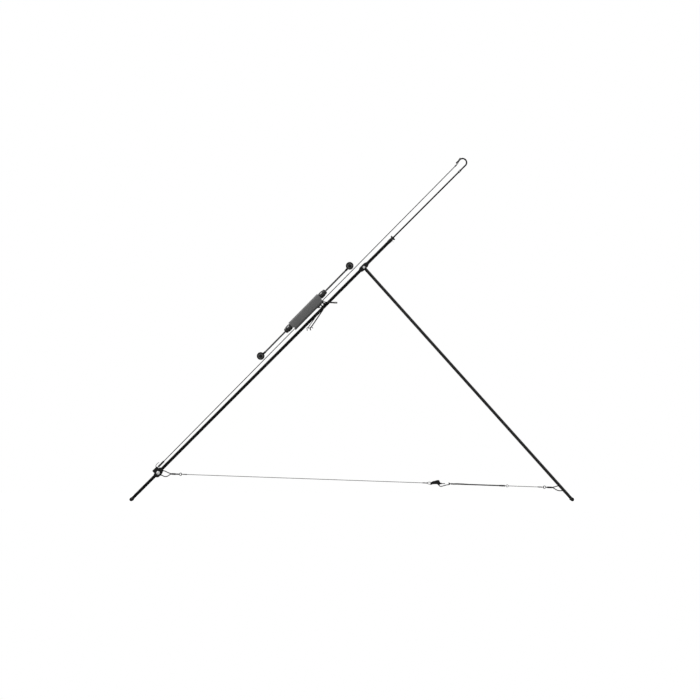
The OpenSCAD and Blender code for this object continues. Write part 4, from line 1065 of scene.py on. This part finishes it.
def guide_wheel(name, node, joint):
    """A soft tyre with a groove on a dished disc with ribs, and a raised hub."""
    centre = pivot(joint)
    low, high = in_mm(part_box(node))
    r = (high.z - low.z) / 2
    half = (high.y - low.y) / 2
    place = Matrix.Translation(centre) @ Matrix.Rotation(math.pi / 2, 4, "Z")
    bore = 1.6
    tyre = [(-half, r - 2.0), (-half, r - 0.5), (-half + 0.5, r), (-0.6, r - 0.85), (0.6, r - 0.85), (half - 0.5, r),
            (half, r - 0.5), (half, r - 2.0), (half - 0.9, r - 2.4), (-half + 0.9, r - 2.4)]
    disc = [(-half + 0.8, bore), (-half + 0.8, r - 2.1), (-0.6, r - 1.9), (0.6, r - 1.9), (half - 0.8, r - 2.1),
            (half - 0.8, bore)]
    hub = [(-half, bore), (-half, 2.5), (-half + 0.5, 3.0), (half - 0.5, 3.0), (half, 2.5), (half, bore)]
    parts = [turned(filleted(outline, 0.3, 3), place, ring=True) for outline in (tyre, disc, hub)]
    rib = turned(filleted([(0, 0), (0, 0.3), (r - 5.0, 0.3), (r - 5.0, 0)], 0.2, 2),
                 Matrix.Translation((0, 0, 2.6 * MM)) @ Matrix.Rotation(-math.pi / 2, 4, "Y"), steps=8)
    for side in (1, -1):
        spokes = grown(rib.copy(), REPEAT, place @ Matrix.Translation((side * (half - 0.75) * MM, 0, 0)), Count=8,
                       Turn=math.tau / 8, Material=finishes["disc"])
        parts[1] = one_finish(merged([parts[1], spokes]))
    return add_piece(name, merged(parts), ["tyre", "disc", "hub"], node)


guide_wheel("low_guide_wheel", "wheel_low", "low_wheel_spin")
guide_wheel("high_guide_wheel", "wheel_high", "high_wheel_spin")
eased_piece("wheel_axle_screws", "axle_screws", "dark_bolt", 0.2)


# ---------------------------------------------------------------- trigger

eased_piece("trigger_frame", "trigger_bracket", "fitting", 0.18)
eased_piece("keeper_fork", "keeper_arm", "trigger", 0.2)
eased_piece("trigger_pin", "trip_pin", "bolt", 0.15)
rounded_wire("trigger_spring", "trip_spring", "wire", 0.03)


def trip_lever():
    """The fork and arm, with a ribbed grip sleeve on the paddle's end."""
    pin = pivot("lever_trip")
    arm = mark(eased("trip_lever", 0.25), along(pin, SIDEWAYS.cross(Vector((0, 0, 1)))))
    far = max(vertex.co.x for vertex in arm.vertices)
    tip = [vertex.co for vertex in arm.vertices if vertex.co.x > far - 1.5 * MM]
    end = sum(tip, Vector()) / len(tip)
    place = along(end, (end.x - pin.x, 0, end.z - pin.z))
    r = 1.8
    profile = [(-7.5, 0), (-7.5, r - 0.4), (-7.1, r)]
    for k in range(4):
        profile += [(-6.4 + k * 1.5, r), (-6.1 + k * 1.5, r - 0.25), (-5.7 + k * 1.5, r - 0.25), (-5.4 + k * 1.5, r)]
    profile += [(-0.2, r - 0.2), (0.1, r - 1.0), (0.1, 0)]
    sleeve = turned(filleted(profile, 0.15, 2), place, steps=24)
    add_piece("trip_fork_and_paddle", merged([one_finish(arm), sleeve]), ["trigger", "grip"], "trip_lever")


trip_lever()
